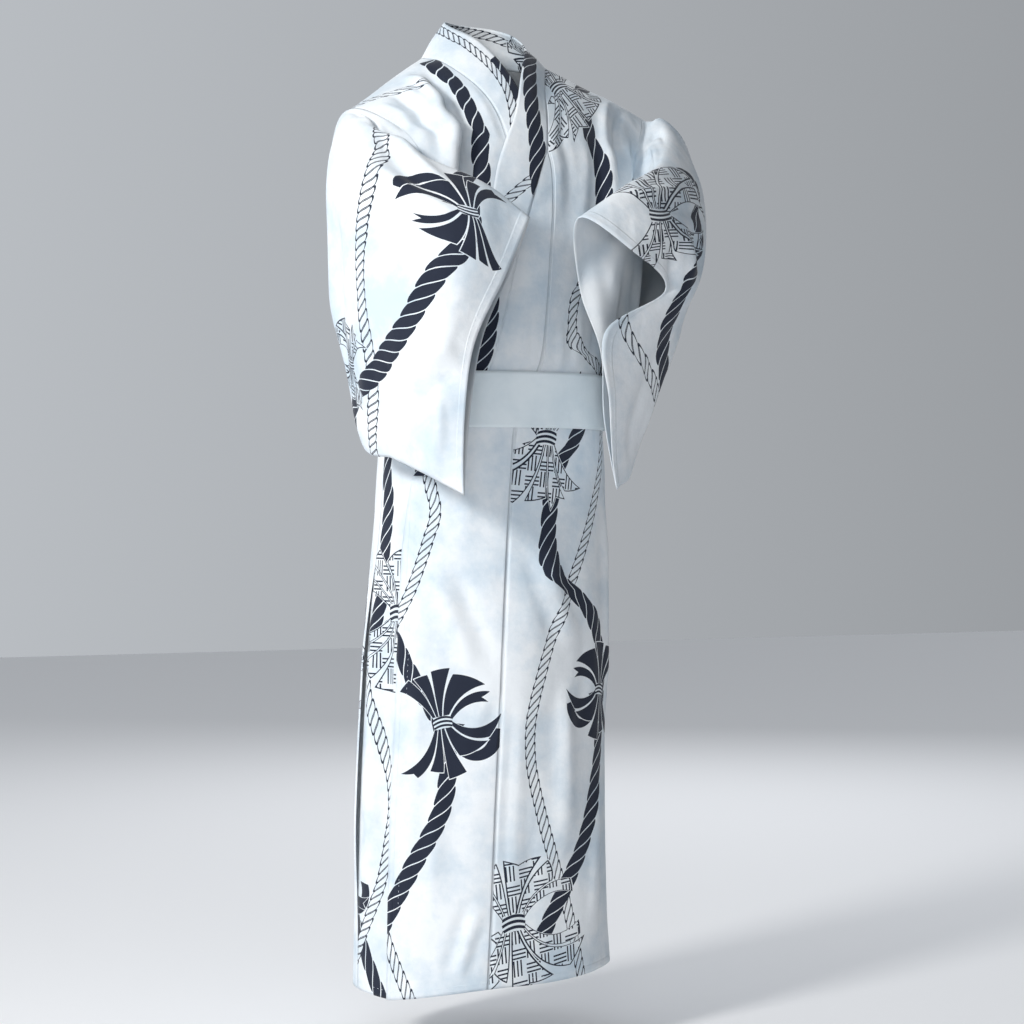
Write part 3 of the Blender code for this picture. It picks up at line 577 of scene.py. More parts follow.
# Hem stitches: small running stitches of white thread on every turned edge, all of one length and
# one gap, drawn through the turned cloth and lying on its outer side.
STITCH_GAP = 0.0080
STITCH_LENGTH = 0.0024
THREAD = 0.00045
TURNED_IN = 0.0095


class Level:
    """A value in a node tree. A sum written with it becomes a chain of maths nodes."""

    def __init__(self, socket):
        self.socket = socket

    def __add__(self, other):
        return maths("ADD", self, other)

    def __sub__(self, other):
        return maths("SUBTRACT", self, other)

    def __rsub__(self, other):
        return maths("SUBTRACT", other, self)

    def __mul__(self, other):
        return maths("MULTIPLY", self, other)

    def __truediv__(self, other):
        return maths("DIVIDE", self, other)

    def __lt__(self, other):
        return maths("LESS_THAN", self, other)

    def __gt__(self, other):
        return maths("GREATER_THAN", self, other)

    def __and__(self, other):
        return maths("MINIMUM", self, other)

    def __or__(self, other):
        return maths("MAXIMUM", self, other)


def feed(node, values):
    """Gives a node's inputs their values in order, as links or as plain numbers."""
    for socket, value in zip(node.inputs, values):
        if isinstance(value, Level):
            node.id_data.links.new(value.socket, socket)
        else:
            socket.default_value = value
    return node


def maths(kind, *values):
    tree = next(value.socket.id_data for value in values if isinstance(value, Level))
    node = tree.nodes.new("ShaderNodeMath")
    node.operation = kind
    return Level(feed(node, values).outputs[0])


def tinted(level, low, low_tint, high, high_tint):
    """A colour that goes from one tint to another as the level rises."""
    tree = level.socket.id_data
    ramp = tree.nodes.new("ShaderNodeValToRGB")
    for stop, place, tint in zip(ramp.color_ramp.elements, (low, high), (low_tint, high_tint)):
        stop.position = place
        stop.color = (*tint, 1.0)
    tree.links.new(level.socket, ramp.inputs[0])
    return ramp.outputs[0]


def raised(height, strength, distance=1.0):
    """Relief of a shader's surface."""
    tree = height.socket.id_data
    relief = tree.nodes.new("ShaderNodeBump")
    relief.inputs["Strength"].default_value = strength
    relief.inputs["Distance"].default_value = distance
    tree.links.new(height.socket, relief.inputs["Height"])
    tree.links.new(relief.outputs[0], tree.nodes["Principled BSDF"].inputs["Normal"])


thread_paint, thread_tree, thread_shader = new_paint("thread")
thread_spot = thread_tree.nodes.new("ShaderNodeTexCoord")
twist = thread_tree.nodes.new("ShaderNodeTexWave")
twist.bands_direction = "DIAGONAL"
twist.inputs["Scale"].default_value = 1400.0
thread_tree.links.new(thread_spot.outputs["Object"], twist.inputs["Vector"])
twisted = Level(twist.outputs[1])
# white thread with painted blue-grey shade in the grooves of its twist
thread_tint_with_groove_shade = tinted(twisted, 0.0, (0.52, 0.60, 0.68), 1.0, (0.78, 0.82, 0.86))
thread_tree.links.new(thread_tint_with_groove_shade, thread_shader.inputs["Base Color"])
raised(twisted, 0.6, 0.0001)
thread_shader.inputs["Roughness"].default_value = 0.6

stitch_tree = bpy.data.node_groups.new("running_stitch", "GeometryNodeTree")
for label, kind in (("Geometry", "Geometry"), ("Gap", "Float"), ("Length", "Float"),
                    ("Thread", "Float"), ("Cotton", "Material")):
    stitch_tree.interface.new_socket(label, in_out="INPUT", socket_type="NodeSocket" + kind)
stitch_tree.interface.new_socket("Geometry", in_out="OUTPUT", socket_type="NodeSocketGeometry")
step = {label: stitch_tree.nodes.new(kind) for label, kind in (
    ("given", "NodeGroupInput"), ("line", "GeometryNodeMeshToCurve"),
    ("even", "GeometryNodeResampleCurve"), ("tangent", "GeometryNodeInputTangent"),
    ("turn", "FunctionNodeAlignRotationToVector"), ("stitch", "GeometryNodeMeshCylinder"),
    ("half", "ShaderNodeMath"), ("place", "GeometryNodeInstanceOnPoints"),
    ("real", "GeometryNodeRealizeInstances"), ("paint", "GeometryNodeSetMaterial"),
    ("made", "NodeGroupOutput"))}
step["even"].mode = "LENGTH"
step["turn"].axis = "Z"
step["stitch"].inputs["Vertices"].default_value = 6
step["half"].operation = "MULTIPLY"
step["half"].inputs[1].default_value = 0.5
for start, leaving, end, entering in (
        ("given", "Geometry", "line", "Mesh"), ("line", "Curve", "even", "Curve"),
        ("given", "Gap", "even", "Length"), ("tangent", "Tangent", "turn", "Vector"),
        ("given", "Thread", "half", "Value"), ("half", "Value", "stitch", "Radius"),
        ("given", "Length", "stitch", "Depth"), ("even", "Curve", "place", "Points"),
        ("stitch", "Mesh", "place", "Instance"), ("turn", "Rotation", "place", "Rotation"),
        ("place", "Instances", "real", "Geometry"), ("real", "Geometry", "paint", "Geometry"),
        ("given", "Cotton", "paint", "Material"), ("paint", "Geometry", "made", "Geometry")):
    stitch_tree.links.new(step[start].outputs[leaving], step[end].inputs[entering])
STITCH_INPUTS = {item.name: item.identifier for item in stitch_tree.interface.items_tree
                 if item.in_out == "INPUT"}


def sewing_line(points, out, sizes, place, turned=False):
    """A line just outside the cloth where one of its cut's sizes has a value."""
    shell = points + out * (CLOTH * 0.5 + 0.0001)
    if turned:
        shell, sizes = shell.swapaxes(0, 1), sizes.T
    return np.array([[np.interp(place, sizes[:, j], shell[:, j, axis]) for axis in range(3)]
                     for j in range(shell.shape[1])])


def sewn(name, lines):
    """Running stitches along lines of points, as one plain mesh."""
    corners, edges = [], []
    for line in lines:
        first = len(corners)
        corners += [tuple(p) for p in line]
        edges += [(first + k, first + k + 1) for k in range(len(line) - 1)]
    mesh = bpy.data.meshes.new(name)
    mesh.from_pydata(corners, edges, [])
    item = shown(name, mesh)
    row = item.modifiers.new("stitches", "NODES")
    row.node_group = stitch_tree
    for label, value in (("Gap", STITCH_GAP), ("Length", STITCH_LENGTH), ("Thread", THREAD),
                         ("Cotton", thread_paint)):
        row[STITCH_INPUTS[label]] = value
    graph = bpy.context.evaluated_depsgraph_get()
    plain = bpy.data.meshes.new_from_object(item.evaluated_get(graph), depsgraph=graph)
    item.modifiers.clear()
    item.data = plain
    item.data.name = name
    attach(item, "root")
    return item


# Printed cotton: a plain weave in bluish white, dyed with indigo ropes and bundles of folded
# ribbons tied in the middle. Both motifs are drawn here from their own widths, pitch and number
# of ribbons. The tables give the layout on each length of cloth, in millimetres on its cut.
WHITE = (0.800, 0.832, 0.858)
# blue-grey of the clouds: painted shade of folds and crumples, mixed with the cotton's own clouding
BLUISH_SHADE = (0.560, 0.655, 0.735)
INDIGO = (0.0060, 0.0115, 0.0290)
WEAVE_PITCH = 0.0012
THIN = (8.8, 13.5)
THICK = (13.0, 25.5)
RIBBONS = 5.0
PLAIT = 0.0215
BEHIND_TIE = 0.19


def cut_sizes(tree):
    """The place on the cut: across it and along it."""
    cut = tree.nodes.new("ShaderNodeUVMap")
    cut.uv_map = "cut"
    split = tree.nodes.new("ShaderNodeSeparateXYZ")
    tree.links.new(cut.outputs[0], split.inputs[0])
    return Level(split.outputs[0]), Level(split.outputs[1])


def cloudy(tree, scale, detail, roughness=0.5, distortion=0.0):
    """Soft clouds over the whole piece."""
    spot = tree.nodes.new("ShaderNodeTexCoord")
    clouds = tree.nodes.new("ShaderNodeTexNoise")
    for label, value in (("Scale", scale), ("Detail", detail), ("Roughness", roughness),
                         ("Distortion", distortion)):
        clouds.inputs[label].default_value = value
    tree.links.new(spot.outputs["Object"], clouds.inputs["Vector"])
    return Level(clouds.outputs[0])


def threads(size, pitch):
    """Threads side by side, as waves with this pitch."""
    return maths("SINE", size * (2.0 * math.pi / pitch))


def pattern_group(name, labels):
    """An empty group with ink and area outputs, and the levels of its number inputs."""
    tree = bpy.data.node_groups.new(name, "ShaderNodeTree")
    for label in labels:
        tree.interface.new_socket(label, in_out="INPUT", socket_type="NodeSocketFloat")
    for label in ("Ink", "Area"):
        tree.interface.new_socket(label, in_out="OUTPUT", socket_type="NodeSocketFloat")
    start = tree.nodes.new("NodeGroupInput")
    return tree, [Level(start.outputs[label]) for label in labels]


def rope_group(name, filled):
    """Twisted rope: leaf-shaped strands, dyed solid or in outline."""
    tree, given = pattern_group(
        name, ("Across", "Middle", "Slope", "Run", "Along", "From", "To", "Half", "Pitch", "Twist"))
    across, middle, slope, run, place, first, last, half, pitch, twist = given
    off = (across - middle) * maths("INVERSE_SQRT", slope * slope + 1.0)
    d = off / half
    size = maths("ABSOLUTE", d)
    # a point beside the middle line lies abreast of one a little farther along it
    abreast = run + off * slope
    steep, curl, wave, line = (0.60, 0.22, 0.25, 0.00115) if filled else (0.86, 0.30, 0.27, 0.00180)
    lean = d * (d * d * curl + steep)
    f = maths("FRACT", abreast / pitch - lean * twist)
    near = (f & (1.0 - f)) * pitch
    edge = maths("SQRT", maths("SINE", f * math.pi)) * wave + (1.0 - wave)
    inside = (size < edge) & ((place > first) & (place < last))
    if filled:
        ink = inside & (near > line)
    else:
        rim = (edge - size) * half
        seam = (near > 0.00022) & (near < line)
        ink = inside & (seam | (rim < line * 0.9))
    feed(tree.nodes.new("NodeGroupOutput"), (ink, inside))
    return tree


def bundle_group(name, filled):
    """Ribbons fanned out to both sides of a tie of cords, with one tail curled back."""
    tree, given = pattern_group(
        name, ("Across", "Along", "U", "V", "Cosine", "Sine", "Size", "Bend", "Count", "Seed"))
    across, place, tie_u, tie_v, cosine, sine, length, bend, count, seed = given
    u = (across - tie_u) / length
    v = (place - tie_v) / length
    x = u * cosine - v * sine
    y = u * sine + v * cosine
    high = maths("ABSOLUTE", y)
    # each fan opens from a point behind the tie, its outer ribbons curving away
    deep = high + BEHIND_TIE
    far = maths("SQRT", x * x + deep * deep) - BEHIND_TIE
    spread = far * far * 0.62 + 0.60
    t = (maths("ARCTAN2", x, deep) - bend * far) / spread
    t = t + maths("SINE", t * 3.3 + seed) * 0.14
    strip = (t + 1.0) * (count * 0.5)
    number = maths("FLOOR", strip) + (y > 0.0) * 17.0
    f = maths("FRACT", strip)
    noise = tree.nodes.new("ShaderNodeTexWhiteNoise")
    noise.noise_dimensions = "1D"
    tree.links.new((number + seed).socket, noise.inputs["W"])
    parts = tree.nodes.new("ShaderNodeSeparateColor")
    tree.links.new(noise.outputs["Color"], parts.inputs[0])
    chance, tilt, kind = (Level(part) for part in parts.outputs[:3])
    off = f - 0.5
    reach = (chance * 0.36 + 0.66) + off * ((tilt - 0.5) * 0.46)
    notch = maths("ABSOLUTE", off) * 0.30 - 0.07
    reach = reach + (kind > 0.62) * notch
    # the ribbons part from each other towards their ends
    parting = far * far * (tilt * 0.20 + 0.03)
    wide = spread * (far + BEHIND_TIE) * (length * 2.0) / count
    side = ((f & (1.0 - f)) - parting) * wide
    tip = (reach - far) * length
    area = (maths("ABSOLUTE", t) < 1.0) & ((tip > -0.0012) & (side > -0.0003))
    body = area & ((side > 0.0007) & (tip > 0.0))
    # the curled tail is the lower half of a ring beside the tie, wider towards its end
    rx, ry = x + 0.50, y + 0.34
    ring = maths("SQRT", rx * rx + ry * ry)
    room = (0.085 - rx * 0.09) - maths("ABSOLUTE", ring - 0.34)
    room = (room & (rx * 0.35 - (ry - 0.18))) * length
    tail = room > -0.0010
    if filled:
        ink = body
        tail_ink = room > 0.0
    else:
        # triple lines laid over and under each other like plaited strips
        down = (y + 3.0) * length / PLAIT
        over = (x + 3.0) * length / PLAIT
        turned = maths("FRACT", (maths("FLOOR", over) + maths("FLOOR", down)) * 0.5) > 0.25
        bars = []
        for run in (down, over):
            fine = maths("ABSOLUTE", maths("FRACT", run * 4.0) - 0.5)
            bars.append((fine < 0.205) & (maths("FRACT", run) < 0.76))
        lattice = bars[1] * turned + bars[0] * (1.0 - turned)
        ink = body & ((side < 0.0023) | (tip < 0.0018) | lattice)
        tail_ink = (room > 0.0) & ((room < 0.0017) | lattice)
    ink = tail_ink * (1.0 - area) + (ink & area)
    tie = (high < 0.105) & (maths("ABSOLUTE", x) < (0.165 - high * 0.2))
    cord = maths("SINE", (y + x * x * 1.5) * 92.0) > -0.15
    ink = ink * (1.0 - tie) + tie * cord
    feed(tree.nodes.new("NodeGroupOutput"), (ink, area | tail | tie))
    return tree


ROPES = {"solid": rope_group("rope_solid", True), "line": rope_group("rope_line", False)}
BUNDLES = {"solid": bundle_group("bundle_solid", True),
           "lattice": bundle_group("bundle_lattice", False)}


def guide(value, samples):
    """A curve node through evenly spaced samples, kept between 0 and 1."""
    tree = value.socket.id_data
    low = min(samples)
    span = max(max(samples) - low, 1e-6)
    node = tree.nodes.new("ShaderNodeFloatCurve")
    line = node.mapping.curves[0]
    last = len(samples) - 1
    line.points[0].location = (0.0, (samples[0] - low) / span)
    line.points[1].location = (1.0, (samples[-1] - low) / span)
    for k in range(1, last):
        line.points.new(k / last, (samples[k] - low) / span)
    node.mapping.update()
    tree.links.new(value.socket, node.inputs["Value"])
    return Level(node.outputs[0]) * span + low


def laid_over(ink, pattern, values):
    """One more motif, which hides what lies under it."""
    motif = values[0].socket.id_data.nodes.new("ShaderNodeGroup")
    motif.node_tree = pattern
    inked, area = (Level(socket) for socket in feed(motif, values).outputs)
    return inked if ink is None else ink * (1.0 - area) + inked


def printed_cotton(name, hand, ropes, bundles, folds=(), seams=()):
    """Cotton cloth with its own layout of motifs. hand is -1 where the cut is seen mirrored.
    Ropes: kind, half width, pitch, then places along and across the cut. Bundles: kind, across,
    along, turn in degrees, length, bend, seed. Folds and seams: u or v, place on the cut, and
    for folds the side on which the cloth lies double."""
    paint, tree, shader = new_paint(name)
    across_cut, along_cut = cut_sizes(tree)
    ink = None
    for kind, half, pitch, places in ropes:
        along_keys, across_keys = (np.array(places) / 1000.0).T.tolist()
        first, last = along_keys[0], along_keys[-1]
        steps = max(8, min(40, round((last - first) / 0.035)))
        at = np.linspace(first, last, steps * 8 + 1)
        middle = np.array([along(along_keys, across_keys, v) for v in at])
        slope = np.gradient(middle, at)
        run = np.concatenate([[0.0], np.cumsum(np.hypot(np.diff(middle), np.diff(at)))])
        share = (along_cut - first) / (last - first)
        middle, slope, run = (guide(share, samples[::8].tolist()) for samples in (middle, slope, run))
        ink = laid_over(ink, ROPES[kind], (
            across_cut, middle, slope, run, along_cut, first, last,
            half / 1000.0, pitch / 1000.0, hand))
    for kind, u, v, turned, size, bend, seed in bundles:
        turn = math.radians(turned)
        ink = laid_over(ink, BUNDLES[kind], (
            across_cut, along_cut, u / 1000.0, v / 1000.0, math.cos(turn), math.sin(turn),
            size / 1000.0, bend, RIBBONS, seed))
    # soft bluish clouds in the white, laid at random: partly the washed cotton's own clouding, partly
    # painted shade of its folds and crumples
    clouds = tinted(cloudy(tree, 10.0, 6.0, 0.62), 0.34, BLUISH_SHADE, 0.58, WHITE)
    dyed = tree.nodes.new("ShaderNodeMix")
    dyed.data_type = "RGBA"
    dyed.inputs[7].default_value = (*INDIGO, 1.0)
    tree.links.new(clouds, dyed.inputs[6])
    tree.links.new(ink.socket, dyed.inputs[0])
    tree.links.new(dyed.outputs[2], shader.inputs["Base Color"])
    # plain weave, and the fine crumple of washed cotton
    weave = threads(across_cut, WEAVE_PITCH) * threads(along_cut, WEAVE_PITCH)
    crumple = cloudy(tree, 38.0, 3.0) * 0.0020 + cloudy(tree, 11.0, 2.0, distortion=0.6) * 0.0060
    height = weave * 0.00003 + crumple
    sizes = {"u": across_cut, "v": along_cut}
    for axis, place, side in folds:
        edge = (sizes[axis] - place / 1000.0) * (side / 0.0012) + 0.5
        height = height + ((edge | 0.0) & 1.0) * 0.0007
    for axis, place in seams:
        near = maths("ABSOLUTE", sizes[axis] - place / 1000.0) / 0.0016
        height = height - (1.0 - (near & 1.0)) * 0.0011
    raised(height, 0.75)
    shader.inputs["Roughness"].default_value = 0.88
    shader.inputs["Sheen Weight"].default_value = 0.12
    return paint


def plain_reverse():
    """The inner side of the same cotton, where the dye hardly comes through."""
    paint, tree, shader = new_paint("cotton_reverse")
    across_cut, along_cut = cut_sizes(tree)
    clouds = cloudy(tree, 13.0, 5.0)
    # bluish clouds as on the printed side: partly the cotton's own clouding, partly painted shade of its
    # crumples
    tint = tinted(clouds, 0.36, (0.560, 0.630, 0.690), 0.60, (0.740, 0.770, 0.795))
    tree.links.new(tint, shader.inputs["Base Color"])
    weave = threads(across_cut, WEAVE_PITCH) * threads(along_cut, WEAVE_PITCH)
    raised(weave * 0.00004 + clouds * 0.0030, 0.7)
    shader.inputs["Roughness"].default_value = 0.9
    shader.inputs["Sheen Weight"].default_value = 0.1
    return paint


REVERSE = plain_reverse()
BODY_PRINTS = {
    "left": printed_cotton("cotton_body_left", 1, (
        ("line", *THIN, ((0, 148), (108, 113), (209, 75), (336, 44), (446, 64), (528, 95), (639, 141),
            (772, 180), (840, 150), (900, 54), (960, 50), (1020, 85), (1080, 135), (1120, 170))),
        ("line", *THIN, ((1500, 350), (1620, 250), (1800, 150), (2050, 60), (2300, 120), (2600, 50),
            (2720, 60))),
        ("solid", *THICK, ((0, 50), (71, 81), (176, 137), (242, 160), (382, 180), (490, 160), (527, 123),
            (570, 82), (647, 53), (773, 110), (900, 150), (1050, 105), (1177, 86), (1300, 70), (1370, 88),
            (1450, 155), (1580, 175), (1760, 80), (1950, 55), (2200, 180), (2450, 200), (2720, 100))),
    ), (
        ("lattice", 32, 84, -8, 110, 0.25, 3),
        ("solid", 175, 400, 6, 74, -0.25, 11),
        ("lattice", 50, 755, 4, 102, -0.2, 5),
        ("lattice", 26, 1286, -35, 100, 0, 8),
        ("solid", 90, 1700, 15, 76, 0.2, 21),
        ("lattice", 150, 2080, -10, 80, -0.2, 5),
        ("solid", 120, 2420, -15, 76, 0.2, 14),
    ), (("v", 11, -1), ("v", 2682, 1)), (("u", 1.5),)),
    "right": printed_cotton("cotton_body_right", -1, (
        ("solid", *THICK, ((0, 284), (42, 307), (70, 322), (120, 350), (200, 400))),
        ("solid", *THICK, ((360, 420), (400, 350), (440, 312), (487, 288), (550, 271), (610, 268),
            (670, 260), (740, 262), (820, 220), (950, 100), (1132, 38), (1173, 41), (1231, 46),
            (1291, 35), (1350, 10))),
        ("solid", *THICK, ((1430, -30), (1520, 45), (1620, 100), (1800, 55), (2000, 160), (2200, 220),
            (2450, 180), (2730, 200))),
        ("line", *THIN, ((0, 400), (30, 345), (66, 315), (103, 291), (140, 272), (194, 260), (263, 253),
            (339, 271), (400, 290), (450, 292), (517, 240), (650, 100), (900, 50), (1020, 0),
            (1080, -40))),
        ("line", *THIN, ((1268, 80), (1290, 110), (1335, 140), (1385, 180), (1450, 290))),
        ("line", *THIN, ((1500, 350), (1600, 270), (1720, 190), (1900, 80), (2150, 150), (2400, 50),
            (2730, 100))),
    ), (
        ("lattice", 240, 517, 0, 112, 0.45, 5),
        ("solid", 200, 800, -10, 76, -0.25, 11),
        ("solid", 375, 145, 12, 80, 0.2, 3),
        ("lattice", 150, 1600, 20, 80, 0.3, 8),
        ("solid", 100, 1950, -12, 76, 0.2, 21),
        ("lattice", 200, 2300, 10, 80, 0.25, 3),
    ), (("v", 11, -1), ("v", 2701, 1)), (("u", 1.5),)),
}

# Troughs and ridges of the two panels, in millimetres: across and along at the start and at
# the end, bow, half width, height
LEFT_CREASES = (
    # skirt front
    (20, 615, 88, 450, 5, 11, -3.1),
    (52, 620, 120, 455, 6, 14, 6.1),
    (17, 425, 15, 100, 2, 6, -1.6),
    (30, 400, 26, 120, -2, 8, 2.5),
    (98, 430, 104, 150, -5, 16, 8.3),
    (135, 560, 150, 260, 6, 16, -3.2),
    (60, 240, 50, 40, 3, 13, -2.6),
    (190, 700, 215, 330, 6, 13, 7.5),
    (235, 560, 250, 100, -6, 20, -2.4),
    (180, 300, 172, 30, 4, 12, 5.7),
    # above the belt
    (27, 925, 34, 850, 2, 6, 2.4),
    (46, 910, 48, 852, -2, 6, -1.7),
    (66, 940, 61, 852, 2, 8, 3.1),
    (96, 930, 92, 855, -2, 8, -2.2),
    (128, 960, 120, 856, 3, 10, 3.7),
    (165, 950, 152, 858, 2, 10, -3.1),
    # chest and shoulder
    (16, 1250, 10, 1080, 2, 9, 2.2),
    (34, 1260, 28, 1040, 3, 9, -1.9),
    (72, 1220, 50, 980, 5, 12, 4),
    (150, 1290, 132, 1090, 8, 9, -8.5),
    (124, 1310, 108, 1080, 7, 9, 6.2),
    (168, 1230, 150, 1060, 6, 9, 5.5),
    (110, 1060, 74, 930, 4, 14, -3),
    # back
    (60, 1500, 120, 1720, 10, 11, 8.1),
    (150, 1480, 130, 1760, 6, 9, -9),
    (180, 1560, 150, 1780, 5, 9, 7.1),
    (40, 1770, 45, 1832, 2, 9, 1.4),
    (85, 1760, 80, 1832, 2, 9, -1.4),
    (40, 1960, 60, 2360, 6, 10, -7.1),
    (95, 1950, 120, 2500, 8, 12, 9.5),
    (150, 2020, 170, 2620, -6, 11, -9),
    (205, 1960, 225, 2540, 6, 11, 8.5),
    (250, 2100, 262, 2640, 4, 10, -7.1),
)
RIGHT_CREASES = (
    # the deep fold from the neck to the crook of the arm
    (30, 1335, 58, 1110, -34, 12, -14.7),
    (52, 1345, 83, 1105, -37, 9, 10.7),
    (125, 1310, 112, 1140, -14, 9, -7.9),
    (106, 1310, 100, 1150, -12, 9, 5.9),
    (152, 1300, 140, 1170, -8, 9, 5.2),
    (12, 1300, 20, 1140, -4, 10, 2.6),
    (40, 1080, 70, 930, 4, 14, 2.6),
    (85, 1060, 100, 880, 4, 14, -2.4),
    # under layer of the skirt and its side
    (150, 700, 170, 200, 4, 16, -1.2),
    (205, 720, 220, 260, 4, 18, 3.4),
    (250, 620, 262, 120, -4, 13, -7),
    (290, 540, 296, 60, 4, 12, 5.9),
    # back
    (70, 1520, 125, 1740, 8, 11, 7.6),
    (158, 1500, 134, 1770, 6, 9, -8.5),
    (190, 1590, 158, 1790, 5, 9, 6.6),
    (30, 1780, 34, 1846, 2, 9, -1.4),
    (70, 1790, 66, 1846, 2, 9, 1.4),
    (30, 2020, 42, 2560, 5, 10, 7.1),
    (85, 1970, 100, 2420, 6, 11, -8.5),
    (140, 2000, 165, 2640, 7, 12, 9),
    (200, 1980, 212, 2500, -5, 10, -8.1),
    (245, 2080, 262, 2660, 5, 10, 7.1),
)

armholes = {}
for name, side, table, creases in (
        ("left", 1.0, LEFT_UPPER, LEFT_CREASES), ("right", -1.0, RIGHT_UPPER, RIGHT_CREASES)):
    points = body_points(int(side), table)
    armholes[name] = armhole_of(points, side)
    cut = laid_flat(points)
    grid = creased(points, cut, creases, sign=side)
    piece = cloth_piece("robe_body_" + name, grid, cut, CLOTH, sign=side)
    sewing = sewn("stitches_hem_" + name, [
        sewing_line(grid, outward(grid, sign=side), cut[1], place)
        for place in (TURNED_IN, cut[1].max() - TURNED_IN)])
    dress(piece, "body_" + name, "cotton", BODY_PRINTS[name], REVERSE)


# Okumi: a narrow length sewn to each front edge, from the hem up to a point on the chest, its
# own free edge folded back along the front border.
OKUMI_COLUMNS = 20
EDGE_COLUMNS = 9
# Troughs and ridges, as in the tables of the body panels
LEFT_OKUMI_CREASES = (
    (88, 610, 6, 430, 4, 12, -3.1),
    (110, 590, 34, 430, 4, 13, 4.4),
    (64, 14, 26, 140, 3, 10, -2.9),
    (44, 10, 14, 135, 3, 8, 3.1),
    (28, 8, 6, 110, 2, 7, -1.8),
    (2, 420, 34, 320, 2, 12, -2.6),
    (120, 560, 126, 160, 4, 14, 3.7),
    (75, 330, 90, 110, -4, 16, 3.4),
    (98, 280, 110, 60, 3, 10, -1.8),
    (70, 740, 60, 620, 3, 12, 2.7),
    (40, 960, 28, 860, 2, 8, 2),
)
RIGHT_OKUMI_CREASES = (
    (30, 560, 50, 100, 4, 14, -1),
    (100, 480, 110, 140, 4, 14, -1),
)
OKUMI_PRINT = printed_cotton("cotton_okumi", -1, (
    ("line", *THIN, ((0, 111), (63, 144), (110, 168), (150, 195))),
    ("line", *THIN, ((460, 195), (500, 166), (533, 146), (565, 131), (610, 117), (673, 104), (721, 120),
        (800, 110))),
    ("solid", *THICK, ((50, 190), (95, 156), (130, 137), (171, 116), (249, 78), (310, 70), (376, 83),
        (439, 127), (481, 153), (530, 195))),
    ("solid", *THICK, ((800, 165), (900, 125), (1000, 80), (1200, 50))),
), (
    ("solid", 80, 376, 12, 82, -0.25, 11),
), (("v", 11, -1), ("u", 142, 1)), (("u", 1.5),))


def okumi_points(side, table):
    rows = []
    for level in list(SKIRT_LEVELS) + [
            entry[1] for entry in table[:UPPER_NAMES.index("point") + 1]]:
        seam, collar, edge = (
            seam_angle(side, k, HEM_FRONT if level is None else level) for k in (1, 2, 3))
        angles = [seam + (collar - seam) * j / OKUMI_COLUMNS for j in range(OKUMI_COLUMNS + 1)]
        angles += [collar + (edge - collar) * (j + 1) / EDGE_COLUMNS for j in range(EDGE_COLUMNS)]
        rows.append([front_point(side, front_level(side, level, a), a) for a in angles])
    return loft(rows, SKIRT_STEPS + [UPPER_STEPS] * (len(rows) - 1 - SKIRT_SPANS))[:-1]


END_ROW = sum(SKIRT_STEPS[:SKIRT_LEVELS.index(COLLAR_END)])
for side, table, creases, name in (
        (1, LEFT_UPPER, LEFT_OKUMI_CREASES, "left"),
        (-1, RIGHT_UPPER, RIGHT_OKUMI_CREASES, "right")):
    points = okumi_points(side, table)
    cut = laid_flat(points)
    grid = creased(points, cut, creases, sign=-side)
    piece = cloth_piece(
        "robe_okumi_" + name, grid, cut, CLOTH,
        skip=lambda i, j: i >= END_ROW and j >= OKUMI_COLUMNS, sign=-side)
    out = outward(grid, sign=-side)
    free_edge = cut[0][:END_ROW].max(axis=1).min()
    edge_line = sewing_line(grid, out, cut[0], free_edge - TURNED_IN, turned=True)
    sewing = sewn("stitches_front_" + name, [
        sewing_line(grid, out, cut[1], TURNED_IN), edge_line[1:END_ROW]])
    dress(piece, "okumi_" + name, "cotton", OKUMI_PRINT, REVERSE)


# Collar: one long band folded double over the neck edge, from its square end on the right
# front round the neck to its end on the left front, with cloth folded inside to stiffen it.
COLLAR_COLUMNS = 14
COLLAR_CLOTH = 0.0019
# Free edge of the collar where it leaves the chest: section, left edge, right edge
COLLAR_EDGE = (
    ("yoke", (-0.010, -0.1145, -0.095), (0.014, -0.1095, -0.078)),
    ("slope", (0.012, -0.089, -0.034), (-0.012, -0.081, -0.022)),
    ("front_ridge", (0.036, -0.050, 0.002), (-0.033, -0.043, 0.018)),
    ("ridge", (0.055, -0.006, 0.024), (-0.056, 0.002, 0.043)),
    ("back_ridge", (0.051, 0.028, 0.045), (-0.053, 0.030, 0.056)),
    ("nape", (0.030, 0.050, 0.056), (-0.030, 0.051, 0.059)),
    ("neck_middle", (0.000, 0.059, 0.059), (0.000, 0.059, 0.059)),
)
COLLAR_CREASES = (
    (10, 470, 52, 520, 2, 7, -1.3),
    (6, 560, 50, 590, 2, 8, 1.6),
    (12, 690, 56, 700, 2, 8, -1.6),
    (8, 780, 54, 770, 2, 10, 1.6),
    (10, 900, 52, 880, 2, 8, -1.3),
    (30, 1020, 24, 1180, 4, 12, 1.8),
    (8, 1240, 48, 1270, 2, 8, -1.3),
    (28, 1330, 26, 1420, 3, 12, 1.3),
)
COLLAR_PRINT = printed_cotton("cotton_collar", 1, (
    ("solid", *THICK, ((0, 45), (160, 20), (320, 50), (460, 20), (540, 34), (620, 50))),
    ("line", 7, 12.5, ((500, 12), (586, 34), (656, 42), (747, 50), (840, 50), (920, 40), (1000, 30))),
    ("line", *THIN, ((1190, -30), (1225, 10), (1265, 45), (1300, 80))),
    ("solid", *THICK, ((980, 34), (1060, 34), (1140, 24), (1210, 6), (1290, -30))),
    ("solid", *THICK, ((1300, 85), (1340, 58), (1385, 32), (1430, 20), (1500, 16), (1570, 30),
        (1660, 40))),
), (
    ("lattice", 30, 935, 5, 40, 0.1, 4),
))


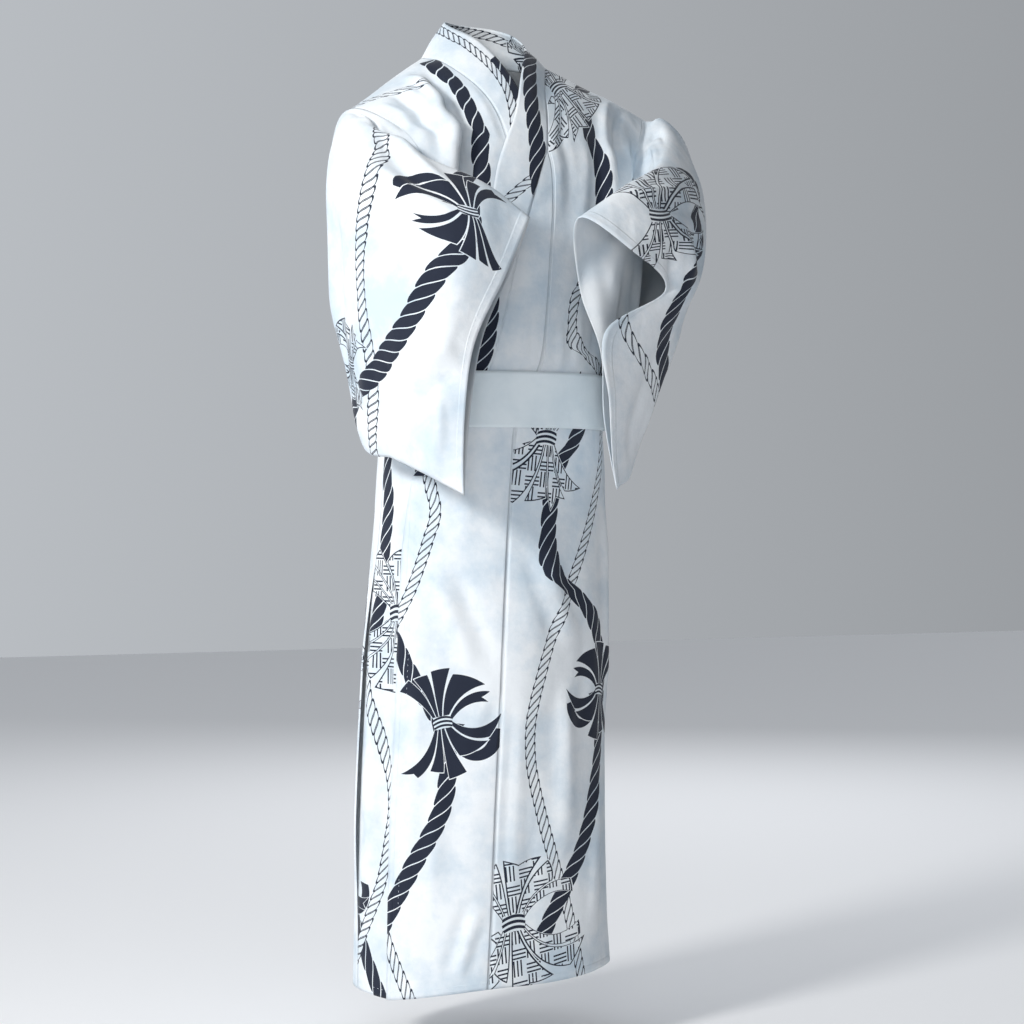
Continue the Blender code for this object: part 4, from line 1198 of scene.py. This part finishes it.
def collar_rows(side, table):
    rows = []
    for level in [z for z in SKIRT_LEVELS if z is not None and z >= COLLAR_END] + [
            entry[1] for entry in table[:UPPER_NAMES.index("point") + 1]]:
        seam, edge = seam_angle(side, 2, level), seam_angle(side, 3, level)
        rows.append([front_point(side, level, seam + (edge - seam) * j / COLLAR_COLUMNS)
                     for j in range(COLLAR_COLUMNS + 1)])
    first = UPPER_NAMES.index("yoke")
    for entry, free in zip(table[first:], COLLAR_EDGE):
        seam = lifted(side, entry[0], entry[1])
        edge = lifted(side, entry[0], free[1 if side > 0 else 2])
        middle = (seam + edge) * 0.5
        bulge = Vector((middle.x, middle.y - 0.01, 0.04)).normalized() * 0.0025
        rows.append(even([seam, middle + bulge, edge], COLLAR_COLUMNS))
    return rows


collar_spans = SKIRT_SPANS - SKIRT_LEVELS.index(COLLAR_END)
collar_point = collar_spans + 1 + UPPER_NAMES.index("point")
collar_steps = SKIRT_STEPS[-collar_spans:] + [UPPER_STEPS] * (1 + UPPER_NAMES.index("neck_middle"))
left_band = loft(collar_rows(1, LEFT_UPPER), collar_steps, {0: [collar_point]})
right_band = loft(collar_rows(-1, RIGHT_UPPER), collar_steps, {0: [collar_point]})
collar_plain = np.concatenate([right_band, left_band[-2::-1]])
collar_cut = laid_flat(collar_plain)
collar = cloth_piece(
    "robe_collar", creased(collar_plain, collar_cut, COLLAR_CREASES), collar_cut,
    COLLAR_CLOTH, reverse=False)
dress(collar, "collar", "cotton", COLLAR_PRINT)


# Sleeves: each a straight length folded over the shoulder line, sewn to the armhole, hanging as a
# deep bag below the open cuff. Both forearms are brought to the front.
SLEEVE_STEPS = 15
SLEEVE_TOP = 4
ROUND_SLEEVE = 600
# Right sleeve sections: section, bottom, inner low, inner middle, inner high, top,
# outer high, outer middle, outer low
RIGHT_SLEEVE = (
    ("upper_arm", (-0.207, -0.050, -0.558), (-0.190, -0.086, -0.440), (-0.172, -0.126, -0.320),
     (-0.152, -0.140, -0.215), (-0.214, -0.076, -0.118), (-0.251, -0.046, -0.160),
     (-0.246, -0.040, -0.290), (-0.236, -0.036, -0.430)),
    ("elbow", (-0.194, -0.118, -0.577), (-0.158, -0.145, -0.460), (-0.122, -0.170, -0.330),
     (-0.113, -0.158, -0.240), (-0.166, -0.142, -0.165), (-0.232, -0.128, -0.200),
     (-0.238, -0.132, -0.310), (-0.223, -0.128, -0.450)),
    ("forearm", (-0.171, -0.180, -0.600), (-0.136, -0.172, -0.480), (-0.092, -0.180, -0.365),
     (-0.070, -0.172, -0.275), (-0.092, -0.190, -0.205), (-0.138, -0.232, -0.262),
     (-0.176, -0.228, -0.378), (-0.180, -0.206, -0.500)),
    ("cuff", (-0.134, -0.222, -0.628), (-0.118, -0.205, -0.520), (-0.096, -0.198, -0.415),
     (-0.046, -0.188, -0.315), (-0.036, -0.220, -0.253), (-0.080, -0.239, -0.333),
     (-0.127, -0.240, -0.428), (-0.137, -0.230, -0.530)),
)
# Left sleeve sections: section, bottom, inner low, inner middle, inner high, top,
# forearm high, forearm low, mouth, hanging high, hanging low
LEFT_SLEEVE = (
    ("upper_arm", (0.196, -0.044, -0.512), (0.186, -0.096, -0.420), (0.180, -0.134, -0.320),
     (0.188, -0.130, -0.205), (0.262, -0.052, -0.084), (0.306, -0.052, -0.148),
     (0.292, -0.048, -0.270), (0.258, -0.044, -0.360), (0.236, -0.040, -0.420),
     (0.212, -0.040, -0.474)),
    ("elbow", (0.174, -0.110, -0.560), (0.134, -0.158, -0.440), (0.118, -0.186, -0.345),
     (0.142, -0.186, -0.240), (0.214, -0.136, -0.150), (0.280, -0.124, -0.190),
     (0.285, -0.130, -0.275), (0.244, -0.130, -0.370), (0.212, -0.125, -0.450),
     (0.190, -0.120, -0.515)),
    ("forearm", (0.140, -0.168, -0.598), (0.104, -0.195, -0.450), (0.082, -0.205, -0.355),
     (0.074, -0.208, -0.280), (0.112, -0.218, -0.200), (0.176, -0.232, -0.246),
     (0.228, -0.206, -0.318), (0.186, -0.206, -0.400), (0.162, -0.196, -0.478),
     (0.146, -0.184, -0.548)),
    ("cuff", (0.106, -0.200, -0.619), (0.082, -0.208, -0.520), (0.078, -0.206, -0.430),
     (0.048, -0.202, -0.345), (0.022, -0.248, -0.254), (0.091, -0.271, -0.296),
     (0.171, -0.222, -0.342), (0.063, -0.250, -0.405), (0.077, -0.234, -0.500),
     (0.092, -0.214, -0.575)),
)
RIGHT_SLEEVE_CREASES = (
    # from the shoulder, and fanning out of the crook of the arm
    (10, -50, 150, -28, 2, 9, -7.1),
    (12, -28, 140, -6, 2, 9, 5.9),
    (318, 58, 120, -52, 6, 9, 8.6),
    (312, 78, 150, -10, 6, 9, -7.4),
    (318, 92, 190, 60, -5, 9, 5.9),
    (310, 120, 215, 175, -6, 10, -5.5),
    (325, 130, 260, 235, -4, 10, 5.2),
    # the hanging bag
    (285, 380, 366, 250, 6, 9, -6.3),
    (270, 350, 350, 225, 6, 10, 5.9),
    (110, 30, 90, 380, 6, 16, 7.1),
    (160, 120, 140, 440, -6, 14, -7.1),
    (200, 240, 190, 460, 5, 13, 5.9),
    (60, 80, 50, 330, 4, 11, -5.9),
    (240, 300, 250, 450, 4, 11, -4.4),
    (330, 300, 320, 440, 4, 11, 4.4),
    # inner side, towards the body
    (300, -80, 180, -140, 6, 12, 4.2),
    (310, -120, 200, -220, 6, 14, -3.7),
    (140, -180, 170, -440, 6, 18, 3.7),
    (230, -200, 260, -430, 5, 16, -3.5),
)
LEFT_SLEEVE_CREASES = (
    # at the elbow and the open cuff
    (330, 112, 376, 205, 4, 9, -8.2),
    (306, 104, 334, 186, -4, 9, 7.1),
    (282, 90, 296, 190, -4, 9, -5.9),
    (340, 10, 240, 60, 5, 9, 5.9),
    (330, 45, 230, 110, 6, 9, -5.5),
    # from the shoulder down the upper arm
    (30, -90, 200, -30, 6, 9, 6.6),
    (20, -60, 180, 10, 6, 9, -6.6),
    (40, -20, 150, 80, 6, 10, 5.9),
    (100, 30, 190, 160, 5, 11, -5.9),
    # the hanging bag
    (300, 240, 340, 480, 6, 13, -6.3),
    (255, 220, 290, 470, 6, 13, 6.6),
    (200, 200, 230, 460, 5, 14, -6.6),
    (140, 160, 150, 420, 5, 14, 6.6),
    (80, 120, 80, 360, 4, 13, -5.9),
    # inner side
    (300, -90, 180, -160, 6, 10, 6.3),
    (300, -140, 210, -260, 6, 14, -3.5),
    (150, -200, 170, -440, 6, 18, 3.7),
)
SLEEVE_PRINTS = {
    "right": printed_cotton("cotton_sleeve_right", -1, (
        ("line", *THIN, ((-480, 260), (-360, 300), (-240, 230), (-140, 120), (-61, 97), (0, 165),
            (57, 218), (112, 223), (185, 212), (253, 209), (318, 215), (388, 212), (480, 180))),
        ("solid", 11.5, 25, ((-480, 120), (-340, 180), (-200, 290), (-80, 300), (0, 290), (73, 312),
            (113, 317), (164, 304), (227, 285), (296, 251), (358, 211), (420, 150), (480, 130))),
    ), (
        ("lattice", 165, 352, -6, 62, -0.2, 5),
        ("solid", 311, 73, 22, 62, -0.25, 11),
        ("lattice", 120, -300, 20, 80, 0.3, 8),
    ), (("u", 360, 1),), (("u", 2.5),)),
    "left": printed_cotton("cotton_sleeve_left", 1, (
        ("line", *THIN, ((-490, 100), (-360, 180), (-240, 120), (-160, 40), (-100, -40))),
        ("line", *THIN, ((270, 410), (300, 366), (325, 330), (365, 285), (450, 220), (550, 200))),
        ("solid", *THICK, ((-490, 220), (-360, 140), (-220, 220), (-50, 300), (59, 217), (88, 250),
            (133, 269), (183, 328), (215, 331), (289, 310), (400, 250), (550, 280))),
        ("line", *THIN, ((60, -40), (120, 40), (180, 100), (260, 100), (380, 50), (550, 85))),
    ), (
        ("lattice", 320, 68, 30, 100, -0.2, 5),
        ("solid", 110, 300, 12, 76, -0.2, 11),
        ("solid", 160, -280, -15, 76, 0.2, 21),
    ), (("u", 373, 1),), (("u", 2.5),)),
}


def sleeve_points(armhole, table):
    """Loops from the bottom up the inner side, over the top and down the outer side."""
    edge, flare = armhole
    count = len(edge)
    ridge = UPPER_STEPS * (1 + UPPER_NAMES.index("front_ridge"))
    rows = [[Vector(p) for p in edge], [Vector(p) for p in flare]]
    for entry in table:
        loop = [Vector(p) for p in entry[1:]]
        fine = np.array([tuple(spline(loop, k / ROUND_SLEEVE, closed=True))
                         for k in range(ROUND_SLEEVE + 1)])
        run = np.concatenate([[0.0], np.cumsum(np.linalg.norm(np.diff(fine, axis=0), axis=1))])
        top = run[round(SLEEVE_TOP / len(loop) * ROUND_SLEEVE)]
        want = np.concatenate([
            np.linspace(0.0, top, ridge + 1),
            np.linspace(top, run[-1], count - ridge)[1:]])
        rows.append([Vector(p) for p in np.column_stack([
            np.interp(want, run, fine[:, axis]) for axis in range(3)])])
    points = loft(rows, [3] + [SLEEVE_STEPS] * (len(rows) - 2))
    return points[:, :-1], ridge


def run_round(points):
    """The way round each closed row of points, from its first point back to it."""
    loop = np.concatenate([points, points[:, :1]], axis=1)
    steps = np.linalg.norm(np.diff(loop, axis=1), axis=2)
    return np.concatenate([np.zeros((len(points), 1)), np.cumsum(steps, axis=1)], axis=1)


def cut_round(across, run):
    """Sizes on the cut of a closed piece, with the last of each row for its closing seam."""
    return across, run[:, :-1], run[:, -1:] * np.ones(across.shape)


def sleeve_cut(points, ridge):
    """Sizes on the cut: from the armhole to the cuff, and down from the fold at the top."""
    around = run_round(points)
    around -= around[:, ridge:ridge + 1]
    out = np.linalg.norm(np.diff(points, axis=0), axis=2)
    out = np.concatenate([np.zeros((1, points.shape[1])), np.cumsum(out, axis=0)])
    return cut_round(out.mean(axis=1)[:, None] * np.ones(points.shape[:2]), around)


for name, table, creases in (
        ("right", RIGHT_SLEEVE, RIGHT_SLEEVE_CREASES), ("left", LEFT_SLEEVE, LEFT_SLEEVE_CREASES)):
    points, ridge = sleeve_points(armholes[name], table)
    cut = sleeve_cut(points, ridge)
    grid = creased(points, cut[:2], creases, closed=True)
    piece = cloth_piece("robe_sleeve_" + name, grid, cut, CLOTH, closed=True)
    cuff = sewing_line(grid, outward(grid, closed=True), cut[0], cut[0].max() - TURNED_IN)
    sewing = sewn("stitches_cuff_" + name, [np.concatenate([cuff, cuff[:1]])])
    dress(piece, "sleeve_" + name, "cotton", SLEEVE_PRINTS[name], REVERSE)


# Belt: a narrow band woven in pale blue, wound flat round the waist over both fronts. It holds
# the robe closed by its own tightness. Only the outer one of its turns is built.
OBI_TOP = -0.455
OBI_FOOT = -0.533
OBI_LIFT = 0.0054
OBI_CLOTH = 0.0022
OBI_AROUND = 260
OBI_ROWS = 18
RIB_PITCH = 0.0016
RIB_THREAD = 0.0009
belt_paint, belt_tree, belt_shader = new_paint("belt_cloth")
up_belt, round_belt = cut_sizes(belt_tree)
belt_clouds = cloudy(belt_tree, 26.0, 3.0)
# ribs across the belt, thick and thin threads, and a firm edge at both borders
rib = threads(round_belt, RIB_PITCH)
thread = threads(up_belt, RIB_THREAD)
border = maths("ABSOLUTE", up_belt - 0.039) < 0.0365
belt_tree.links.new(
    tinted(belt_clouds + rib * 0.07, 0.30, (0.770, 0.855, 0.900), 0.70, (0.860, 0.930, 0.960)),
    belt_shader.inputs["Base Color"])
raised((rib * 0.00012 + thread * 0.00003) + (border * 0.0004 + belt_clouds * 0.0022), 0.7)
belt_shader.inputs["Roughness"].default_value = 0.80
belt_shader.inputs["Sheen Weight"].default_value = 0.10
# Slack and pull lines: across, along, then as in the tables above
OBI_CREASES = (
    (20, 100, 58, 190, 3, 6, 0.9),
    (60, 330, 30, 430, -3, 6, -0.8),
    (14, 520, 50, 640, 3, 7, 0.8),
    (66, 700, 26, 800, 3, 6, -0.8),
)
obi_rows = []
for k in range(OBI_ROWS + 1):
    z = OBI_FOOT + (OBI_TOP - OBI_FOOT) * k / OBI_ROWS
    obi_rows.append([tuple(torso_point(z, 360.0 * j / OBI_AROUND - 180.0, OBI_LIFT))
                     for j in range(OBI_AROUND)])
obi_plain = np.array(obi_rows)
obi_cut = cut_round(obi_plain[:, :, 2] - OBI_FOOT, run_round(obi_plain))
obi = cloth_piece(
    "belt_wrap", creased(obi_plain, obi_cut[:2], OBI_CREASES, closed=True), obi_cut,
    OBI_CLOTH, closed=True, reverse=False)
dress(obi, "obi", "belt", belt_paint)


# Knot behind: the belt's own band, drawn once through itself. One flat loop stands round the back
# of the wrap, and the two short ends come out of it, one up and one down.
# Loop: height, half width, and how far behind the middle its near and far walls stand
KNOT_LOOP = (
    (-0.540, 0.0400, 0.1343, 0.1455),
    (-0.519, 0.0350, 0.1338, 0.1449),
    (-0.497, 0.0335, 0.1331, 0.1445),
    (-0.474, 0.0350, 0.1329, 0.1446),
    (-0.450, 0.0395, 0.1334, 0.1453),
)
KNOT_LEAN = 0.10
# Ends: height, place across, half width, and how far behind the middle
END_UP = (
    (-0.530, -0.003, 0.0245, 0.1371),
    (-0.490, 0.001, 0.0245, 0.1365),
    (-0.448, 0.005, 0.0270, 0.1369),
    (-0.425, 0.010, 0.0340, 0.1388),
    (-0.380, 0.021, 0.0395, 0.1428),
)
END_DOWN = (
    (-0.462, 0.003, 0.0245, 0.1398),
    (-0.500, -0.000, 0.0245, 0.1398),
    (-0.545, -0.005, 0.0270, 0.1405),
    (-0.570, -0.010, 0.0345, 0.1425),
    (-0.632, -0.022, 0.0400, 0.1463),
)
KNOT_AROUND = 96
KNOT_STEPS = 8
END_COLUMNS = 16
END_STEPS = 10


def knot_points():
    rows = []
    for z, half, near, far in KNOT_LOOP:
        lean = (z - KNOT_LOOP[2][0]) * KNOT_LEAN
        row = []
        for j in range(KNOT_AROUND):
            a = 2.0 * math.pi * j / KNOT_AROUND
            c = math.copysign(abs(math.cos(a)) ** 0.45, math.cos(a))
            s = math.copysign(abs(math.sin(a)) ** 0.75, math.sin(a))
            row.append(Vector((lean + half * c, (near + far) / 2 + (far - near) / 2 * s, z)))
        rows.append(row)
    return loft(rows, [KNOT_STEPS] * (len(rows) - 1))


def end_points(table):
    rows = []
    for z, x, half, y in table:
        row = []
        for j in range(END_COLUMNS + 1):
            t = 2.0 * j / END_COLUMNS - 1.0
            row.append(Vector((x + half * t, y + 0.0012 * (1.0 - t * t), z)))
        rows.append(row)
    return loft(rows, [END_STEPS] * (len(rows) - 1))


knot_plain = knot_points()
knot_cut = cut_round(knot_plain[:, :, 2] - KNOT_LOOP[0][0], run_round(knot_plain))
knot = cloth_piece("belt_knot", knot_plain, knot_cut, OBI_CLOTH, closed=True, reverse=False)
dress(knot, "obi_knot", "belt", belt_paint)
for name, table in (("up", END_UP), ("down", END_DOWN)):
    points = end_points(table)
    piece = cloth_piece("belt_end_" + name, points, laid_flat(points), OBI_CLOTH, reverse=False)
    dress(piece, "obi_end_" + name, "belt", belt_paint)
